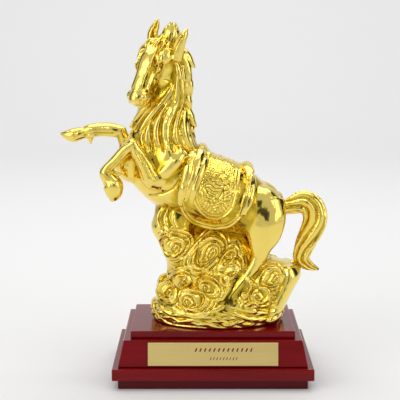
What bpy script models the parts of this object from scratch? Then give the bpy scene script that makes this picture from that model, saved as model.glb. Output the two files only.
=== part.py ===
"""Gilt ceramic horse rearing over a wave-carved rock, on a stepped lacquered plinth with a brass plate.

Sizes are metres, +Z is up, and the origin is the centre of the plinth's underside.
The figure is one casting. It is shaped in its own millimetres, as shares of FIGURE_HEIGHT,
with its underside at height 0, and is then scaled and set on the plinth.
"""
import math

import bmesh
import bpy
import numpy as np
from mathutils import Matrix, Vector
from mathutils.bvhtree import BVHTree

# Driving sizes. The plinth's boards widen downwards from the casting's foot.
FIGURE_HEIGHT = 0.2756
END_MARGIN = 0.006
SIDE_MARGIN = 0.0015
BOARD_HEIGHT = 0.0064
BOARD_LEDGE = 0.006
BODY_HEIGHT = 0.0235
BODY_TAPER = 0.005
BODY_INSET = 0.005
BAND_HEIGHT = 0.0107
FOOT_HEIGHT = 0.0088
FOOT_INSET = 0.005
ARRIS_WIDTH = 0.0009
JOINT_GAP = 0.0003
PLATE_WIDTH = 0.116
PLATE_MARGIN = 0.00175
PLATE_THICKNESS = 0.0010
PLATE_ARRIS = 0.0002

# The figure's own units
DESIGN_HEIGHT = 275.6
FOOT_REACH = 68.0
FOOT_HALF_DEPTH = 42.0
FOOT_CENTRE = 4.8
STRAND_WIDTH = 3.2
CUT_HEIGHT = 0.3
VOXEL = 1.0
SMOOTH_PASSES = 3
FIGURE_TRIANGLES = 9000
RING_SIDES = 20
RIDGE_SIDES = 12
BALL_SEGMENTS = 24
BALL_RINGS = 14
LEAST_HALF_WIDTH = 0.3
STEPS = 4
RAY_START = 200.0
CUT_TOLERANCE = 1e-4
BODY_SLOPE = math.radians(32.5)
HEAD_YAW = math.radians(50)
HEAD_DIP = math.radians(56)
HEAD_ROLL = math.radians(12)
HEAD_TOP = Vector((-48.8, -6.4, 260.5))
BOTH_SIDES = (-1, 1)


# Materials

def finish(name, colour, metallic, roughness):
    material = bpy.data.materials.new(name)
    material.use_nodes = True
    shader = material.node_tree.nodes["Principled BSDF"]
    shader.inputs["Base Color"].default_value = (*colour, 1.0)
    shader.inputs["Metallic"].default_value = metallic
    shader.inputs["Roughness"].default_value = roughness
    material.diffuse_color = (*colour, 1.0)
    return material


# Plinth

def board(name, low_size, high_size, base, height, material):
    """A lacquered board: a block that may taper, with its arrises taken off."""
    bm = bmesh.new()
    bmesh.ops.create_cube(bm, size=1.0)
    for vert in bm.verts:
        width, depth = high_size if vert.co.z > 0 else low_size
        vert.co.x *= width
        vert.co.y *= depth
        vert.co.z = (vert.co.z + 0.5) * height
    bmesh.ops.bevel(bm, geom=bm.edges[:], offset=ARRIS_WIDTH, segments=2, profile=0.5, affect="EDGES")
    mesh = bpy.data.meshes.new(name)
    bm.to_mesh(mesh)
    bm.free()
    mesh.materials.append(material)
    item = bpy.data.objects.new(name, mesh)
    item.location.z = base
    bpy.context.collection.objects.link(item)
    return item


def build_plinth():
    """Foot, band, tapered body and top board, and the plate on the body's front. Gives the top's height."""
    dark = finish("lacquer_dark", (0.045, 0.006, 0.008), 0.0, 0.25)
    red = finish("lacquer_red", (0.16, 0.008, 0.015), 0.0, 0.15)
    scale = FIGURE_HEIGHT / DESIGN_HEIGHT
    top = (2 * (FOOT_REACH * scale + END_MARGIN), 2 * (FOOT_HALF_DEPTH * scale + SIDE_MARGIN))
    body_high = tuple(side + 2 * BOARD_LEDGE for side in top)
    body_low = tuple(side + 2 * BODY_TAPER for side in body_high)
    band = tuple(side + 2 * BODY_INSET for side in body_low)
    foot = tuple(side - 2 * FOOT_INSET for side in band)
    band_base = FOOT_HEIGHT + JOINT_GAP
    body_base = band_base + BAND_HEIGHT + JOINT_GAP
    top_base = body_base + BODY_HEIGHT + JOINT_GAP
    board("plinth_foot", foot, foot, 0.0, FOOT_HEIGHT, dark)
    board("plinth_band", band, band, band_base, BAND_HEIGHT, red)
    board("plinth_body", body_low, body_high, body_base, BODY_HEIGHT, red)
    board("plinth_top", top, top, top_base, BOARD_HEIGHT, red)
    build_plate(body_low[1] / 2, body_base)
    return top_base + BOARD_HEIGHT


def build_plate(front, base):
    """The brass plate lies on the sloping front face, in the middle of its height."""
    lean = math.atan2(BODY_TAPER, BODY_HEIGHT)
    plate_height = math.hypot(BODY_TAPER, BODY_HEIGHT) - 2 * PLATE_MARGIN
    bm = bmesh.new()
    bmesh.ops.create_cube(bm, size=1.0)
    bmesh.ops.scale(bm, vec=(PLATE_WIDTH, PLATE_THICKNESS, plate_height), verts=bm.verts)
    bmesh.ops.bevel(bm, geom=bm.edges[:], offset=PLATE_ARRIS, segments=1, affect="EDGES")
    mesh = bpy.data.meshes.new("plaque")
    bm.to_mesh(mesh)
    bm.free()
    mesh.materials.append(finish("satin_brass", (0.55, 0.44, 0.17), 1.0, 0.35))
    plate = bpy.data.objects.new("plaque", mesh)
    stand_off = JOINT_GAP + PLATE_THICKNESS / 2
    face = Vector((0.0, -front + BODY_TAPER / 2, base + BODY_HEIGHT / 2))
    outward = Vector((0.0, -math.cos(lean), math.sin(lean)))
    plate.location = face + outward * stand_off
    plate.rotation_euler.x = -lean
    bpy.context.collection.objects.link(plate)


# Shaping tools for the figure

def smooth_run(stations, steps):
    """Points between the stations on a Catmull-Rom curve, widths included."""
    rows = np.array(stations, float)
    padded = np.vstack([2 * rows[0] - rows[1], rows, 2 * rows[-1] - rows[-2]])
    run = []
    for i in range(1, len(padded) - 2):
        before, here, after, last = padded[i - 1:i + 3]
        for t in np.arange(steps) / steps:
            run.append(0.5 * (2 * here + (after - before) * t
                              + (2 * before - 5 * here + 4 * after - last) * t ** 2
                              + (3 * here - before - 3 * after + last) * t ** 3))
    run.append(rows[-1])
    return np.array(run)


def loft(stations, side=(0.0, 1.0, 0.0), steps=STEPS, sides=RING_SIDES, level=False):
    """A closed limb through (x, y, z, half depth, half width), with the widths turned to face side.

    Its rings stand square to its run, or lie level where it is a heap on the ground.
    """
    run = smooth_run(stations, steps)
    run[:, 3:] = np.maximum(run[:, 3:], LEAST_HALF_WIDTH)
    tangents = np.gradient(run[:, :3], axis=0)
    bm = bmesh.new()
    previous = None
    last = len(run) - 1
    for i, row in enumerate(run):
        along = Vector((0.0, 0.0, 1.0)) if level else Vector(tangents[i]).normalized()
        across = Vector(side)
        across = (across - along * across.dot(along)).normalized()
        depth = across.cross(along)
        frame = Matrix((depth * row[3], across * row[4], along)).transposed().to_4x4()
        frame.translation = Vector(row[:3])
        cap = i in (0, last)
        made = bmesh.ops.create_circle(bm, cap_ends=cap, radius=1.0, segments=sides, matrix=frame)
        ring = {edge for vert in made["verts"] for edge in vert.link_edges}
        if previous:
            bmesh.ops.bridge_loops(bm, edges=list(previous | ring))
        previous = ring
    bmesh.ops.recalc_face_normals(bm, faces=bm.faces)
    return bm


def ball(centre, radii, turn=0.0):
    """An ellipsoid muscle, turned about the Y axis."""
    bm = bmesh.new()
    frame = Matrix.Translation(centre) @ Matrix.Rotation(turn, 4, "Y") @ Matrix.Diagonal((*radii, 1.0))
    bmesh.ops.create_uvsphere(bm, u_segments=BALL_SEGMENTS, v_segments=BALL_RINGS, radius=1.0, matrix=frame)
    return bm


def gather(name, shapes):
    """One mesh object that holds every shape."""
    whole = bmesh.new()
    for shape in shapes:
        piece = bpy.data.meshes.new("shape")
        shape.to_mesh(piece)
        shape.free()
        whole.from_mesh(piece)
        bpy.data.meshes.remove(piece)
    mesh = bpy.data.meshes.new(name)
    whole.to_mesh(mesh)
    whole.free()
    item = bpy.data.objects.new(name, mesh)
    bpy.context.collection.objects.link(item)
    return item


def applied(item, kind, **settings):
    """Adds one modifier and keeps its result as the object's own mesh."""
    modifier = item.modifiers.new(kind.lower(), kind)
    for key, value in settings.items():
        setattr(modifier, key, value)
    graph = bpy.context.evaluated_depsgraph_get()
    mesh = bpy.data.meshes.new_from_object(item.evaluated_get(graph))
    item.modifiers.clear()
    old = item.data
    item.data = mesh
    bpy.data.meshes.remove(old)


class Surface:
    """The outside of what is shaped so far, for laying locks and scrolls on."""

    def __init__(self, shapes):
        whole = bmesh.new()
        for shape in shapes:
            piece = bpy.data.meshes.new("shape")
            shape.to_mesh(piece)
            whole.from_mesh(piece)
            bpy.data.meshes.remove(piece)
        self.tree = BVHTree.FromBMesh(whole)
        whole.free()

    def depth(self, x, z, side, fallback):
        """Y of the outside at (x, z), seen from one side."""
        start = Vector((x, side * RAY_START, z))
        hit = self.tree.ray_cast(start, Vector((0.0, -side, 0.0)))[0]
        return fallback if hit is None else hit.y


def laid(surface, path, side, sink, fallback=0.0):
    """A lock or cord along (x, z, half width) that lies on the surface, sunk by a share of its width."""
    run = smooth_run(path, STEPS)
    stations = []
    y = fallback
    for x, z, half in run:
        y = surface.depth(x, z, side, y)
        stations.append((x, y - side * sink * half, z, half, half))
    return loft(stations, steps=1, sides=RIDGE_SIDES)


def scroll(surface, centre, radius, hand, side):
    """A spiral ridge that winds in to its centre."""
    count = int(SCROLL_STEPS * SCROLL_TURNS)
    path = []
    for i in range(count + 1):
        share = i / count
        angle = hand * 2 * math.pi * SCROLL_TURNS * share + math.pi / 2
        reach = radius * (1 - SCROLL_CLOSING * share)
        path.append((centre[0] + reach * math.cos(angle), centre[1] + reach * math.sin(angle),
                     SCROLL_HALF_WIDTH * (1 - SCROLL_THINNING * share)))
    return laid(surface, path, side, sink=SCROLL_SINK)


# Horse

SHOULDER_SHARE = 0.72
CANNON_SHARE = 1.04
EAR_WAIST = 0.6


def on_body(along, up):
    """(x, z) from the distance along the sloping back line and the height square to it."""
    return (along * math.cos(BODY_SLOPE) + up * math.sin(BODY_SLOPE),
            up * math.cos(BODY_SLOPE) - along * math.sin(BODY_SLOPE))


def body_shapes():
    """Trunk, neck, shoulders and haunches."""
    trunk = [(-153, 84, 10, 12), (-147, 87, 20, 21), (-136, 92, 26, 26), (-120, 95, 31, 29),
             (-100, 95.5, 33, 30.5), (-80, 97, 32.5, 31), (-60, 101, 33, 32), (-40, 105, 30.5, 32),
             (-22, 106, 25.5, 30), (-9, 106, 19.5, 25), (1, 106, 11, 15)]
    stations = []
    for along, up, depth, width in trunk:
        x, z = on_body(along, up)
        stations.append((x, 0, z, depth, width))
    neck = [(-44, 1, 148, 32, 27), (-46, 0, 168, 30.5, 24), (-46, 0, 185, 25, 19.5),
            (-43.5, 0, 200, 21, 16.5), (-37, 0, 215, 16.5, 13),
            (-33.5, 0, 230, 14, 11.5), (-34, 0, 243, 12, 11)]
    shapes = [loft(stations, sides=32), loft(neck, sides=28)]
    for side in BOTH_SIDES:
        shapes.append(ball((-40, side * 19, 149), (14, 12, 19), math.radians(-12)))
        shapes.append(ball((-45, side * 17, 130), (17, 13, 11), math.radians(28)))
        shapes.append(ball((42.5, side * 13, 106), (22, 17, 22)))
        shapes.append(ball((-72, side * 9, 146), (17, 14, 17)))
    return shapes


def foreleg(knee, elbow, foot, side_y):
    """Forearm, knee, cannon, fetlock and bent hoof. foot lists (x, z, half width) from the knee on."""
    middle = ((elbow[0] + knee[0]) / 2, side_y, (elbow[2] + knee[2]) / 2)
    forearm = [(-42, side_y * SHOULDER_SHARE, 139, 14, 11), (*elbow, 9.5, 9), (*middle, 6.6, 6.4),
               (*knee, 5.4, 5.6)]
    cannon = [(*knee, 5.6, 5.6)]
    cannon += [(x, side_y * CANNON_SHARE, z, half, half) for x, z, half in foot]
    return [loft(forearm), loft(cannon), ball(knee, (5.8, 5.8, 5.8))]


def leg_shapes():
    near = foreleg((-71, -27, 166), (-53.5, -25, 136), [
        (-77.5, 161.5, 5.0), (-88, 150.5, 4.6), (-94, 144, 5.0), (-95.2, 140.5, 5.6), (-91.8, 135.5, 7.0),
        (-88.8, 130.5, 9.0), (-88.2, 124.5, 8.4), (-89.2, 119, 5.6), (-90.6, 115.6, 1.6)], -27)
    far = foreleg((-85, 23, 172), (-76, 22, 150), [
        (-94, 173.6, 6.8), (-104, 173.9, 6.4), (-113, 172.8, 6.6), (-119, 171.0, 5.6), (-125, 169.6, 6.4),
        (-130, 168.6, 6.6), (-136, 169.0, 4.4), (-141.4, 170.0, 1.2)], 23)
    near_tuft = loft([(-94, -28, 142, 3.6, 3), (-87, -28, 140.4, 2.8, 2.4), (-78, -26, 141.4, 1.0, 1.0)])
    far_tuft = loft([(-113, 24, 171, 3.6, 3), (-113.6, 24, 165, 2.6, 2.2), (-113.4, 24, 160.4, 0.8, 0.8)])
    shapes = near + far + [near_tuft, far_tuft]
    for side in BOTH_SIDES:
        shapes.append(loft([
            (44, side * 12, 112, 22, 16), (46, side * 17, 97, 20.5, 15), (45.5, side * 20, 83, 16.5, 12),
            (43.5, side * 21.5, 73, 11, 9), (42, side * 22, 64, 7.2, 6.4), (35, side * 24, 51.5, 4.8, 4.6),
            (25, side * 27.5, 39.5, 4.2, 4.2), (16, side * 31, 28, 4.4, 4.4), (10.5, side * 33, 20.5, 5.2, 5),
            (5, side * 34.5, 14, 5.6, 5.6), (0, side * 34.5, 8, 6, 6)]))
    return shapes


def head_frame():
    """Axes of the head: down the nose, out of the forehead, and out of the near cheek."""
    forward = Vector((-math.cos(HEAD_YAW), -math.sin(HEAD_YAW), 0.0))
    up = Vector((0.0, 0.0, 1.0))
    nose = forward * math.cos(HEAD_DIP) - up * math.sin(HEAD_DIP)
    brow = forward * math.sin(HEAD_DIP) + up * math.cos(HEAD_DIP)
    cheek = Vector((math.sin(HEAD_YAW), -math.cos(HEAD_YAW), 0.0))
    near = cheek * math.cos(HEAD_ROLL) - brow * math.sin(HEAD_ROLL)
    out = brow * math.cos(HEAD_ROLL) + cheek * math.sin(HEAD_ROLL)
    return nose, out, near


def head_shapes():
    nose, out, near = head_frame()
    turn = Matrix((nose, near, out)).transposed()

    def spot(a, f, l):
        return HEAD_TOP + nose * a + out * f + near * l

    def lump(a, f, l, radii):
        shape = ball((0, 0, 0), radii)
        frame = turn.to_4x4()
        frame.translation = spot(a, f, l)
        bmesh.ops.transform(shape, matrix=frame, verts=shape.verts)
        return shape

    def strip(stations):
        return loft([(*spot(a, f, l), depth, width) for a, f, l, depth, width in stations], side=near)

    skull = strip([(-5, -9, 0, 8, 9), (3, -13, 0, 14, 14.5), (14, -15.5, 0, 17, 15),
                   (23, -15, 0, 16.5, 13.6), (31, -12.6, 0, 13.4, 11.6), (41, -10, 0, 10.4, 9.6),
                   (50, -9, 0, 9, 8.8), (57, -9.4, 0, 9, 9), (62, -10, 0, 7.4, 7.6),
                   (65.5, -10.6, 0, 3.8, 4.2)])
    ridge = strip([(8, -3, 0, 3, 6), (22, -2.2, 0, 3, 5.4), (40, -2, 0, 2.6, 4.4), (54, -2.6, 0, 2.6, 4.2)])
    shapes = [skull, ridge, lump(58, -15.5, 0, (5, 3.4, 4.6))]
    for side in BOTH_SIDES:
        shapes.append(lump(20, -25, side * 10, (15, 8.5, 14)))
        shapes.append(lump(18, -4.5, side * 11.6, (6.5, 4, 4.4)))
        shapes.append(lump(24, -7.5, side * 11.4, (3.8, 2.6, 3.2)))
        shapes.append(strip([(30, -10, side * 8.6, 2.2, 2.2), (40, -9.4, side * 7, 2.0, 2.0),
                             (48, -9, side * 6, 1.4, 1.4)]))
        shapes.append(lump(59, -5.5, side * 5.2, (3.6, 3, 3)))
    return shapes


def ear(base, middle, tip):
    """A leaf-shaped ear."""
    waist = Vector(middle).lerp(Vector(tip), EAR_WAIST)
    return loft([(*base, 5.2, 5.2), (*middle, 4.8, 4.4), (*waist, 3.2, 3.0), (*tip, 0.5, 0.5)])


CREST_SINK = 0.7
CREST_FALLBACK = 8
FLUTE_SINK = 0.45
FLUTE_FALLBACK = 12


def hair_shapes(surface):
    """Ears, topknot, mane locks and the flicks along the crest."""
    shapes = [ear((-54, 9, 248), (-54.5, 9, 262), (-48.9, 10, 276)),
              ear((-33, -11, 240), (-29, -13.5, 254), (-22.6, -14, 267.3)),
              loft([(-42, -2, 248, 8, 8), (-38, -1, 258, 8.2, 8), (-35.5, 1, 266, 7, 6.5),
                    (-34.8, 2, 273.4, 1.6, 1.6)])]
    flicks = [(-30, 247, -20, 237.0, -15.8, 232.0), (-27, 226, -20.5, 213.5, -18.6, 208.6),
              (-27, 209, -22, 196.5, -19.4, 191.6), (-27, 196, -18.6, 184, -14.4, 179.2),
              (-25, 182, -19.5, 174, -15.6, 169)]
    for x, z, bend_x, bend_z, tip_x, tip_z in flicks:
        middle = ((x + bend_x) / 2 + 1, (z + bend_z) / 2)
        shapes.append(loft([(x, -2, z, 5.5, 6), (middle[0], -3, middle[1], 5.2, 5.4),
                            (bend_x, -3, bend_z, 3.0, 3.4), (tip_x, -3, tip_z, 0.6, 0.6)]))
    crest = [(-29, 246, 4.5), (-24, 232, 5), (-23.4, 214, 5), (-24.6, 196, 5), (-25, 180, 5),
             (-21, 166, 4.2), (-16, 157, 3)]
    flutes = [[(-33, 228, 2.6), (-31, 214, 3.6), (-31.5, 198, 4.2), (-33, 184, 4.4), (-35, 169, 3.8),
               (-33, 158, 2.2)],
              [(-37, 217, 2.4), (-40, 205, 3.8), (-41, 191, 4.6), (-42, 178, 4.4), (-42.4, 167, 2.6)],
              [(-42, 210, 2.2), (-49, 198, 3.2), (-55, 187, 3.6), (-58, 175, 3.2), (-58, 165, 2)],
              [(-49, 205, 2.2), (-58.8, 190, 3), (-65, 180, 3.2), (-69, 170, 2.2)]]
    for side in BOTH_SIDES:
        shapes.append(laid(surface, crest, side, sink=CREST_SINK, fallback=side * CREST_FALLBACK))
        for path in flutes:
            shapes.append(laid(surface, path, side, sink=FLUTE_SINK, fallback=side * FLUTE_FALLBACK))
    return shapes


TAIL_WIDTH = 0.8


def tail_shapes():
    line = [(56, 106, 6), (63, 104.6, 6.4), (72.4, 106.8, 8.4), (82.7, 109.8, 11), (90.8, 105.4, 11.6),
            (94.2, 95, 11.6), (92, 84.5, 11), (87.2, 73.7, 10), (83.4, 64.3, 8.8), (82.8, 56.7, 8),
            (88, 51, 5.6), (94.5, 47.6, 3), (99.3, 46, 0.9)]
    return [loft([(x, 0, z, half, half * TAIL_WIDTH) for x, z, half in line])]


# Where a roll crosses the back, as shares of the flank's depth, and how it rises there
CROWN_PLACES = (-0.7, -0.35, 0.0, 0.35, 0.7)
CROWN_RISE = 0.42
CROWN_EDGE = 0.35


def tack_shapes(surface):
    """The padded rolls before and behind the saddle, each over the back and down both flanks."""
    rolls = [[(-12.4, 155.5, 4.4), (-17.1, 139.8, 3.2), (-21.4, 128.1, 2.2), (-24, 117, 0.8)],
             [(-18.9, 156, 4.2), (-23.6, 137.1, 3.2), (-26.7, 125.4, 2.2), (-28.5, 113, 0.8)],
             [(30.2, 140.5, 5.0), (35.0, 126.5, 3.8), (32.4, 115, 3.0), (27.2, 104, 1.4)]]
    flat_side = (math.cos(BODY_SLOPE), 0, -math.sin(BODY_SLOPE))
    shapes = []
    for path in rolls:
        run = smooth_run(path, STEPS)
        near, far = [[(x, surface.depth(x, z, side, 0.0), z, half, half) for x, z, half in run]
                     for side in BOTH_SIDES]
        x, y, z, half, _ = far[0]
        crown = []
        for place in CROWN_PLACES:
            rise = abs(y) * CROWN_RISE * (math.cos(place * math.pi / 2) - CROWN_EDGE)
            crown.append((x + rise * math.sin(BODY_SLOPE), y * place, z + rise * math.cos(BODY_SLOPE),
                          half, half))
        shapes.append(loft(near[::-1] + crown + far, side=flat_side, steps=1, sides=RIDGE_SIDES))
    return shapes


# Rock and waves

SCROLL_STEPS = 14
SCROLL_TURNS = 1.6
SCROLL_CLOSING = 0.86
SCROLL_HALF_WIDTH = 1.7
SCROLL_THINNING = 0.3
SCROLL_SINK = 0.25
SCROLL_REACH = 0.92
BOSS_SINK = 0.35
BOSS_DEPTH = 0.7
ROCK_FALLBACK = 25
STRAND_DEGREES = 6
# Strands round the foot: height, sway, waves in one round, phase
STRANDS = [(5, 2.5, 3, 0.0), (10, 3.0, 2, 1.3), (16, 3.0, 3, 2.6)]


def rock_shapes():
    drum = [(4.2, 0, 0, 60, 39.5), (4.2, 0, 4, 60.5, 40), (5.5, 0, 12, 61.5, 40), (8, 0, 22, 60, 38),
            (13, 0, 32, 57, 34), (17, 0, 45, 58, 29), (16, 0, 54, 53, 25), (8, 0, 60, 40, 20)]
    column = [(-18, 0, 40, 25, 28), (-23, 0, 55, 20, 26), (-30, 0, 72, 20, 25), (-36, 0, 86, 21, 24),
              (-33, 0, 98, 19, 22), (-28, 0, 110, 17, 20)]
    wall = [(-30, 0, 68, 24, 18), (0, 0, 64, 24, 17), (25, 0, 60, 22, 17), (46, 0, 50, 14, 18)]
    slab = [(52, 0, 3, 12, 33), (58, 0, 18, 12, 29), (64, 0, 31, 12.5, 26), (69.5, 0, 44, 13.2, 23),
            (69, 0, 53, 9, 19)]
    shapes = [loft(drum, sides=36, level=True), loft(column, sides=28, level=True), loft(wall, sides=28),
              loft(slab, sides=24, level=True)]
    return shapes


def wave_shapes(surface):
    """Bosses with spiral ridges, and long strands that sweep round the foot."""
    shapes = []
    scrolls = [(-35, 74.5, 9.5, 1), (-4, 62, 11, -1), (14, 56, 10, 1), (-39, 28.5, 10, 1),
               (-18.5, 26, 10.5, -1), (-27, 41, 8, 1), (-4, 37, 8.5, -1), (52, 43, 11.5, 1),
               (44, 31, 9, -1), (35, 19, 8.5, 1)]
    for side in BOTH_SIDES:
        for x, z, radius, hand in scrolls:
            y = surface.depth(x, z, side, side * ROCK_FALLBACK)
            shapes.append(ball((x, y - side * radius * BOSS_SINK, z), (radius, radius * BOSS_DEPTH, radius)))
    bosses = Surface(shapes)
    for side in BOTH_SIDES:
        for x, z, radius, hand in scrolls:
            shapes.append(scroll(bosses, (x, z), radius * SCROLL_REACH, hand, side))
    half_width = FOOT_REACH - FOOT_CENTRE - STRAND_WIDTH
    half_depth = FOOT_HALF_DEPTH - STRAND_WIDTH
    for height, sway, waves, phase in STRANDS:
        stations = []
        for degrees in range(0, 361, STRAND_DEGREES):
            angle = math.radians(degrees)
            z = height + sway * math.sin(waves * angle + phase)
            stations.append((FOOT_CENTRE + half_width * math.cos(angle), half_depth * math.sin(angle), z,
                             STRAND_WIDTH, STRAND_WIDTH))
        shapes.append(loft(stations, side=(0, 0, 1), steps=1, sides=RIDGE_SIDES))
    return shapes


# Saddle cloth: the skin inside the outline is raised, with two rims round it and a panel in the middle

CLOTH = [(-8, 172), (-13, 161), (-22, 151), (-28.6, 140), (-31.2, 126), (-30.6, 113), (-26.4, 102.1),
         (-16.8, 93.2), (-2.2, 89.1), (7.1, 89.6), (16.9, 92.6), (26.6, 102.1), (31.4, 115.9), (35.3, 129.8),
         (37.5, 140), (42, 156), (24, 176)]
PANEL = [(-4, 164), (-7.2, 154), (-12.5, 138.1), (-16.9, 123.7), (-14.3, 112), (-7.2, 103.9), (0.8, 101.2),
         (9.7, 103), (16.8, 110.2), (20.3, 121.9), (22.8, 135.4), (24.5, 147), (26, 158)]
CLOTH_RISE = 1.8
EDGE_WIDTH = 1.2
RIM_RISE = 1.3
# Rims: distance in from the cloth's edge, half width, share of the rise
RIMS = [(2.0, 1.7, 1.0), (5.2, 1.5, 0.7)]
PANEL_RISE = 0.9
PANEL_EDGE = 1.6
PANEL_SHARE = 0.5
PANEL_EASE = 3.0
CLOTH_FLOOR = 86
FLOOR_EASE = 2


def outline_depth(points, outline):
    """Distance of each point inside a closed outline, or less than 0 outside it."""
    corners = np.array(outline, float)
    ends = np.roll(corners, -1, axis=0)
    nearest = np.full(len(points), np.inf)
    inside = np.zeros(len(points), bool)
    for start, end in zip(corners, ends):
        edge = end - start
        offset = points - start
        share = np.clip(offset @ edge / (edge @ edge), 0, 1)
        nearest = np.minimum(nearest, np.hypot(*(offset - share[:, None] * edge).T))
        crosses = (start[1] > points[:, 1]) != (end[1] > points[:, 1])
        slope = (end[0] - start[0]) / ((end[1] - start[1]) or 1e-9)
        inside ^= crosses & (points[:, 0] < start[0] + slope * (points[:, 1] - start[1]))
    return np.where(inside, nearest, -nearest)


def ramp(values):
    share = np.clip(values, 0, 1)
    return share * share * (3 - 2 * share)


def bump(values):
    return ramp(1 - np.abs(values))


def raise_cloth(item):
    """Moves the skin out along its normals to carve the saddle cloth."""
    mesh = item.data
    count = len(mesh.vertices)
    places = np.empty(count * 3, np.float32)
    mesh.vertices.foreach_get("co", places)
    places = places.reshape(-1, 3).astype(float)
    normals = np.empty(count * 3, np.float32)
    mesh.vertices.foreach_get("normal", normals)
    normals = normals.reshape(-1, 3)
    side_view = places[:, [0, 2]]
    cloth = outline_depth(side_view, CLOTH)
    panel = outline_depth(side_view, PANEL)
    rise = CLOTH_RISE * ramp(cloth / EDGE_WIDTH)
    for inset, half, share in RIMS:
        rise += RIM_RISE * share * bump((cloth - inset) / half)
    rise += PANEL_RISE * (bump(panel / PANEL_EDGE) + PANEL_SHARE * ramp(panel / PANEL_EASE))
    above = ramp((places[:, 2] - CLOTH_FLOOR) / FLOOR_EASE)
    places += normals * (rise * above * (cloth > 0))[:, None]
    mesh.vertices.foreach_set("co", places.astype(np.float32).ravel())
    mesh.update()


def build_figure(base):
    body = body_shapes() + leg_shapes() + head_shapes()
    rock = rock_shapes()
    skin = Surface(body)
    stone = Surface(rock)
    shapes = body + rock + hair_shapes(skin) + tail_shapes() + tack_shapes(skin) + wave_shapes(stone)
    figure = gather("horse_on_waves", shapes)
    applied(figure, "REMESH", mode="VOXEL", voxel_size=VOXEL)
    applied(figure, "SMOOTH", factor=0.5, iterations=SMOOTH_PASSES)
    raise_cloth(figure)
    flatten_underside(figure)
    faces = sum(len(face.vertices) - 2 for face in figure.data.polygons)
    applied(figure, "TRIANGULATE")
    applied(figure, "DECIMATE", ratio=FIGURE_TRIANGLES / faces)
    scale = FIGURE_HEIGHT / DESIGN_HEIGHT
    figure.data.transform(Matrix.Diagonal((scale, scale, scale, 1.0)))
    figure.data.materials.append(finish("gilt_glaze", (0.80, 0.52, 0.06), 1.0, 0.12))
    figure.data.shade_smooth()
    figure.location.z = base + JOINT_GAP


def flatten_underside(item):
    """The casting stands on a flat cut foot at height 0."""
    bm = bmesh.new()
    bm.from_mesh(item.data)
    floor = bmesh.ops.bisect_plane(bm, geom=bm.verts[:] + bm.edges[:] + bm.faces[:], dist=CUT_TOLERANCE,
                                   plane_co=(0, 0, CUT_HEIGHT), plane_no=(0, 0, -1), clear_outer=True)
    rim = [edge for edge in floor["geom_cut"] if isinstance(edge, bmesh.types.BMEdge)]
    bmesh.ops.holes_fill(bm, edges=rim, sides=0)
    bmesh.ops.translate(bm, vec=(0, 0, -CUT_HEIGHT), verts=bm.verts)
    bm.to_mesh(item.data)
    bm.free()


def main():
    for item in list(bpy.data.objects):
        bpy.data.objects.remove(item)
    top = build_plinth()
    build_figure(top)


main()
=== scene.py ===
"""Looks of a gilt ceramic horse rearing over a wave-carved rock, on a lacquered plinth with a brass plate.

The casting is shaped in millimetres with its underside at height 0, then brought to metres on the plinth.
Its near side is the one towards -Y, where the camera stands.
"""
import math

import bmesh
import bpy
import numpy as np
from mathutils import Matrix, Vector
from mathutils.bvhtree import BVHTree


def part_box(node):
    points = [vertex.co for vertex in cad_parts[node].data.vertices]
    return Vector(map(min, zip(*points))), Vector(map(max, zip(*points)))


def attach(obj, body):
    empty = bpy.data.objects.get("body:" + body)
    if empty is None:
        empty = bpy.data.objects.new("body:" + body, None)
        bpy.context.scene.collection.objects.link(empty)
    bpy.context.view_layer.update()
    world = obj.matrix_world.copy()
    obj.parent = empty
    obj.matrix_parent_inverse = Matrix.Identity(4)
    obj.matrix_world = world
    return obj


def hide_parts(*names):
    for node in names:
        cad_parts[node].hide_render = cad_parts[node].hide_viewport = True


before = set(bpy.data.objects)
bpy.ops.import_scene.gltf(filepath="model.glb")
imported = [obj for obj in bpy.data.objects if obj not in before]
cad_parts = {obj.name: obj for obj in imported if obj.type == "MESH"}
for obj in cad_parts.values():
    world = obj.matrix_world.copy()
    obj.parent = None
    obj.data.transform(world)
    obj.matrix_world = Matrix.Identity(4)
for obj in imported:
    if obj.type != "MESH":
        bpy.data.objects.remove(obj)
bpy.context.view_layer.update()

# Camera: 1000 pixels of focal length on a frame 400 pixels wide
SENSOR = 36.0
LENS = 90.0
CAMERA_PLACE = (-0.0116, -0.903, 0.328)
CAMERA_PITCH = math.radians(90 - 10.42)

# Sizes: metres for the gap and the base, millimetres for the casting's own shapes
MM = 0.001
JOINT_GAP = 0.0003
FIGURE_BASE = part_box("plinth_top")[1][2] + JOINT_GAP
FOOT_REACH = 68.0
FOOT_HALF_DEPTH = 42.0
FOOT_CENTRE = 4.8
CUT_HEIGHT = 0.3
BODY_VOXEL = 1.1
FINE_VOXEL = 0.56
LEAST_WIDTH = 0.3
LEAST_RIDGE = 0.2
RAY_START = 200.0
BALL_SEGMENTS = 24
BALL_RINGS = 14
RIDGE_ROUNDNESS = 3
BODY_SMOOTH = 14
LIMB_SMOOTH = 3
FINE_SMOOTH = 3
FIGURE_TRIANGLES = 190000
STEPS = 4
NEAR = -1
BOTH_SIDES = (NEAR, 1)
ACROSS = (0.0, 1.0, 0.0)
UPWARD = (0.0, 0.0, 1.0)

# Pose
BODY_SLOPE = math.radians(32.5)
HEAD_YAW = math.radians(50)
HEAD_DIP = math.radians(56)
HEAD_ROLL = math.radians(12)
HEAD_TOP = Vector((-48.8, -6.4, 260.5))


# Modelling tools

def deselect():
    bpy.ops.object.select_all(action="DESELECT")


def pick(item):
    """Makes an object the active one, and the only one selected."""
    deselect()
    item.select_set(True)
    bpy.context.view_layer.objects.active = item


def mirrored(stations, side):
    """The stations of a limb beyond the middle, brought to the side asked for."""
    return [(x, side * y, z, depth, width) for x, y, z, depth, width in stations]


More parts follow.
